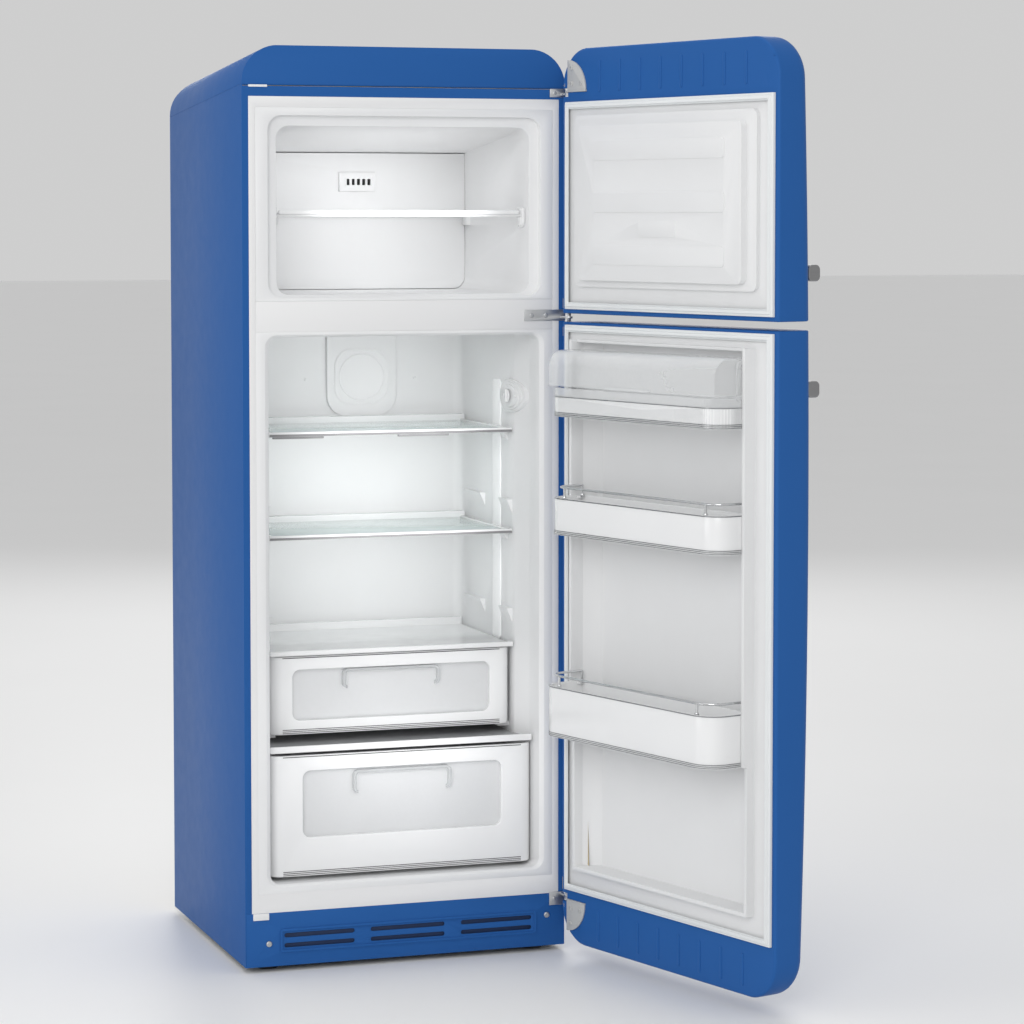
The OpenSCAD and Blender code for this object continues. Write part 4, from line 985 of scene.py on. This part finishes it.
    eye = addRod("eye", (hingeAt.x, hingeAt.y, flange[0]), (hingeAt.x, hingeAt.y, flange[1]),
        plates["eye"], 32)
    parts.append(pinHole(eye, *flange))
    for start, end in door["edgePlate"]:
        edgePlate = addPlate("edge", "z", (start, end), (hingeAt.x - 0.019, hingeAt.y - 0.009),
            (hingeAt.x, hingeAt.y + 0.009), 0.002, 4)
        parts.append(pinHole(edgePlate, start, end))
    parts = [soften(part, 0.0005) for part in parts]
    for dx, dz in plates["screws"]:
        parts.append(addScrew("plate_screw", (plateX + dx, plateFace, foot + up * dz), (0, 1, 0),
            0.0045, 0.0018))
    plate = together(f"{which}_door_hinge_plate", parts)
    fit(swingOpen(plate), door["body"], "hinge_metal", hingeGrey, f"{which}_door_hinge_plates")

    # bar handle on two flared posts
    z = door["grip"]
    rail = addPlate("rail", "x", (bar["left"], bar["right"]), (bar["front"], z - bar["half"]),
        (bar["back"], z + bar["half"]), bar["corner"], 8)
    soften(rail, 0.0022, 4)
    posts = []
    for x in (bar["left"] + bar["end"], bar["right"] - bar["end"]):
        skin = frontAt(z)
        post = addRod("post", (x, bar["back"] - 0.004, z), (x, skin + 0.004, z), bar["post"], 40)
        collar = addRod("collar", (x, skin - 0.004, z), (x, skin + 0.003, z), bar["collar"], 40)
        posts += [smooth(post), soften(collar, 0.0012, 3)]
    grip = together(f"{which}_door_handle_bar", [rail] + posts)
    fit(swingOpen(grip), door["body"], "handle_metal", satin, f"{which}_door_handle")
print("doors done")

# ---- door shelves ----

binHalf, binBack = 0.2405, hingeAt.y + 0.013
bins = {
    "dairy_box": {"front": 0.092, "z": (0.986, 1.037), "corner": 0.036, "rail": None,
        "slot": "clear_plastic", "finish": clear},
    "middle_bin": {"front": 0.092, "z": (0.776, 0.842), "corner": 0.036, "rail": 0.860,
        "slot": "white_gloss", "finish": glossWhite},
    "bottle_bin": {"front": 0.106, "z": (0.418, 0.508), "corner": 0.040, "rail": 0.526,
        "slot": "white_gloss", "finish": glossWhite},
}


def openBand(name, half, back, front, corner, z, tall, thick):
    # an upright strip round three sides of a bin, its two far corners rounded
    band = addSheet(name, "z", z, (-half, back), (half, front), (0, 0, corner, corner), 10)
    with Editing(band) as edit:
        edit.pick(lambda face: True)
        bpy.ops.mesh.delete(type="ONLY_FACE")
    with Editing(band, "EDGE") as edit:
        edit.pick(lambda edge: all(vert.co.y < back + 1e-6 for vert in edge.verts))
        bpy.ops.mesh.delete(type="EDGE")
        if tall:
            bpy.ops.mesh.select_all(action="SELECT")
            bpy.ops.mesh.extrude_region_move(TRANSFORM_OT_translate={"value": (0, 0, tall)})
            bpy.ops.mesh.select_all(action="SELECT")
            bpy.ops.mesh.normals_make_consistent(inside=False)
    if thick:
        modify(band, "SOLIDIFY", thickness=thick, offset=0)
        with Editing(band):
            bpy.ops.mesh.select_all(action="SELECT")
            bpy.ops.mesh.normals_make_consistent(inside=False)
    return band


binShape = {"wall": 0.003, "lines": [(0.0012, 0.0013), (0.0040, 0.0013), (0.0068, 0.0013)],
    "topLine": (-0.0022, 0.0018), "bandLine": (0.0345, 0.0013), "band": (0.0006, 0.034, 0.0012),
    "proud": 0.0002, "strip": 0.0010, "inset": 0.010, "rail": 0.0022, "cup": 0.0042,
    "tab": 0.006, "tabZ": (-0.006, -0.0015)}

for name, shape in bins.items():
    front = hingeAt.y + shape["front"]
    z0, z1 = shape["z"]
    corner, wall = shape["corner"], binShape["wall"]
    tray = addPlate("tray", "z", (z0, z1), (-binHalf, binBack), (binHalf, front),
        (0, 0, corner, corner), 12)
    hollow(tray, lambda face: faces(face, z=1), wall, (0, 0, z0 + wall - z1))
    soften(tray, 0.0012, 3)
    fit(swingOpen(tray), name, shape["slot"], shape["finish"], name)
    tray.name = f"{name}_moulding"
    lines = [(z0 + lift, tall) for lift, tall in binShape["lines"]]
    if name == "dairy_box":  # white band under its three lines
        inside, bandTall, bandThick = binShape["band"]
        band = openBand("dairy_band", binHalf - inside, binBack + 0.001, front - inside,
            corner - inside, z0 + inside, bandTall, bandThick)
        fit(swingOpen(smooth(band)), name, "white_gloss", glossWhite)
        band.name = "dairy_box_band"
        lines.append((z0 + binShape["bandLine"][0], binShape["bandLine"][1]))
    else:
        lines.insert(0, (z1 + binShape["topLine"][0], binShape["topLine"][1]))
    strips = [openBand("line", binHalf + binShape["proud"], binBack + 0.002,
        front + binShape["proud"], corner, z, tall, binShape["strip"]) for z, tall in lines]
    strips = together(f"{name}_lines", [smooth(strip) for strip in strips])
    fit(swingOpen(strips), name, "shelf_trim", lineMetal)
    if shape["rail"]:
        inset, railR, tab = binShape["inset"], binShape["rail"], binShape["tab"]
        endY = binBack + 0.008
        path = openBand("rail", binHalf - inset, endY, front - inset, corner - 0.006,
            shape["rail"], 0, 0)
        railParts, tabs = [wireFrom(path, railR)], []
        tabLow, tabHigh = (z1 + drop for drop in binShape["tabZ"])
        for side in (-1, 1):
            x = side * (binHalf - inset)
            turnX = side * (binHalf - inset - corner + 0.006)
            for place in ((x, endY), (turnX, front - inset)):
                leg = addRod("leg", (*place, z1 - 0.002), (*place, shape["rail"] + 0.0008),
                    railR, 16)
                railParts.append(smooth(leg, 50))
                cup = addRod("cup", (*place, z1 - 0.003), (*place, z1 + 0.0025),
                    binShape["cup"], 20)
                railParts.append(soften(cup, 0.0008))
            tabs.append(addBlock("tab", (min(x, side * binHalf), endY - tab, tabLow),
                (max(x, side * binHalf), endY + tab, tabHigh)))
            tabs.append(addBlock("tab", (turnX - 0.005, front - inset - 0.004, tabLow),
                (turnX + 0.005, front - 0.002, tabHigh)))
        rail = together(f"{name}_rail", railParts)
        fit(swingOpen(rail), name, "shelf_trim", chrome)
        fit(swingOpen(together(f"{name}_rail_tabs", [soften(tab, 0.0008) for tab in tabs])), name,
            shape["slot"], shape["finish"])

# clear lid over the dairy box, with pivots and a finger lip
lid = {"half": binHalf - 0.005, "z": (1.040, 1.103), "radius": 0.030, "wall": 0.003,
    "pivot": (hingeAt.y + 0.038, 1.089), "back": hingeAt.y + 0.018, "chamfer": 0.019,
    "lipHalf": 0.060, "lip": (-0.001, 0.006, 0.004), "pin": 0.0035, "bore": 0.00355,
    "ear": (0.010, 1.030, 1.099)}
lidFront = hingeAt.y + bins["dairy_box"]["front"]
lidLow, lidHigh = lid["z"]
cover = addPlate("dairy_lid_cover", "x", (-lid["half"], lid["half"]), (lid["back"], lidLow),
    (lidFront, lidHigh), (0, 0, lid["radius"], 0), 12)
with Editing(cover, "EDGE") as edit:
    edit.pick(lambda edge: runsAlong(edge, 0) and middleOf(edge).y < lid["back"] + 1e-5
        and middleOf(edge).z < lidLow + 1e-5)
    bpy.ops.mesh.bevel(offset=lid["chamfer"], segments=1)
with Editing(cover) as edit:
    edit.pick(lambda face: faces(face, z=-1) or faces(face, y=-1)
        or face.normal.dot(Vector((0, -0.7, -0.7))) > 0.9)
    bpy.ops.mesh.delete(type="FACE")
modify(cover, "SOLIDIFY", thickness=lid["wall"], offset=-1)
soften(cover, 0.0009, 3)
lipBack, lipOut, lipTall = lid["lip"]
lipBlock = addPlate("lip", "y", (lidFront + lipBack, lidFront + lipOut),
    (-lid["lipHalf"], lidLow), (lid["lipHalf"], lidLow + lipTall), 0.0015, 3)
soften(lipBlock, 0.0009)
pivots = [addRod("pivot", (side * (lid["half"] - 0.001), *lid["pivot"]),
    (side * (binHalf - 0.0003), *lid["pivot"]), lid["pin"], 24) for side in (-1, 1)]
cover = together("dairy_lid_cover", [cover, lipBlock] + [smooth(pivot) for pivot in pivots])
fit(swingOpen(cover), "dairy_lid", "clear_plastic", clear, "dairy_lid")
earHalf, earLow, earHigh = lid["ear"]
ears = []
for side in (-1, 1):
    span = sorted((side * (lid["half"] + 0.0005), side * (binHalf - 0.0001)))
    ear = addPlate("ear", "x", span, (lid["pivot"][0] - earHalf, earLow),
        (lid["pivot"][0] + earHalf, earHigh), 0.009, 8)
    cutOut(ear, addRod("bore", (span[0] - 0.01, *lid["pivot"]), (span[1] + 0.01, *lid["pivot"]),
        lid["bore"], 24))
    ears.append(soften(ear, 0.0005))
fit(swingOpen(together("dairy_box_ears", ears)), "dairy_box", "clear_plastic", clear)
print("door shelves done")

size = {"cad": [list(map(float, corner)) for corner in cadBounds],
    "visual": [list(map(float, corner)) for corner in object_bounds()]}
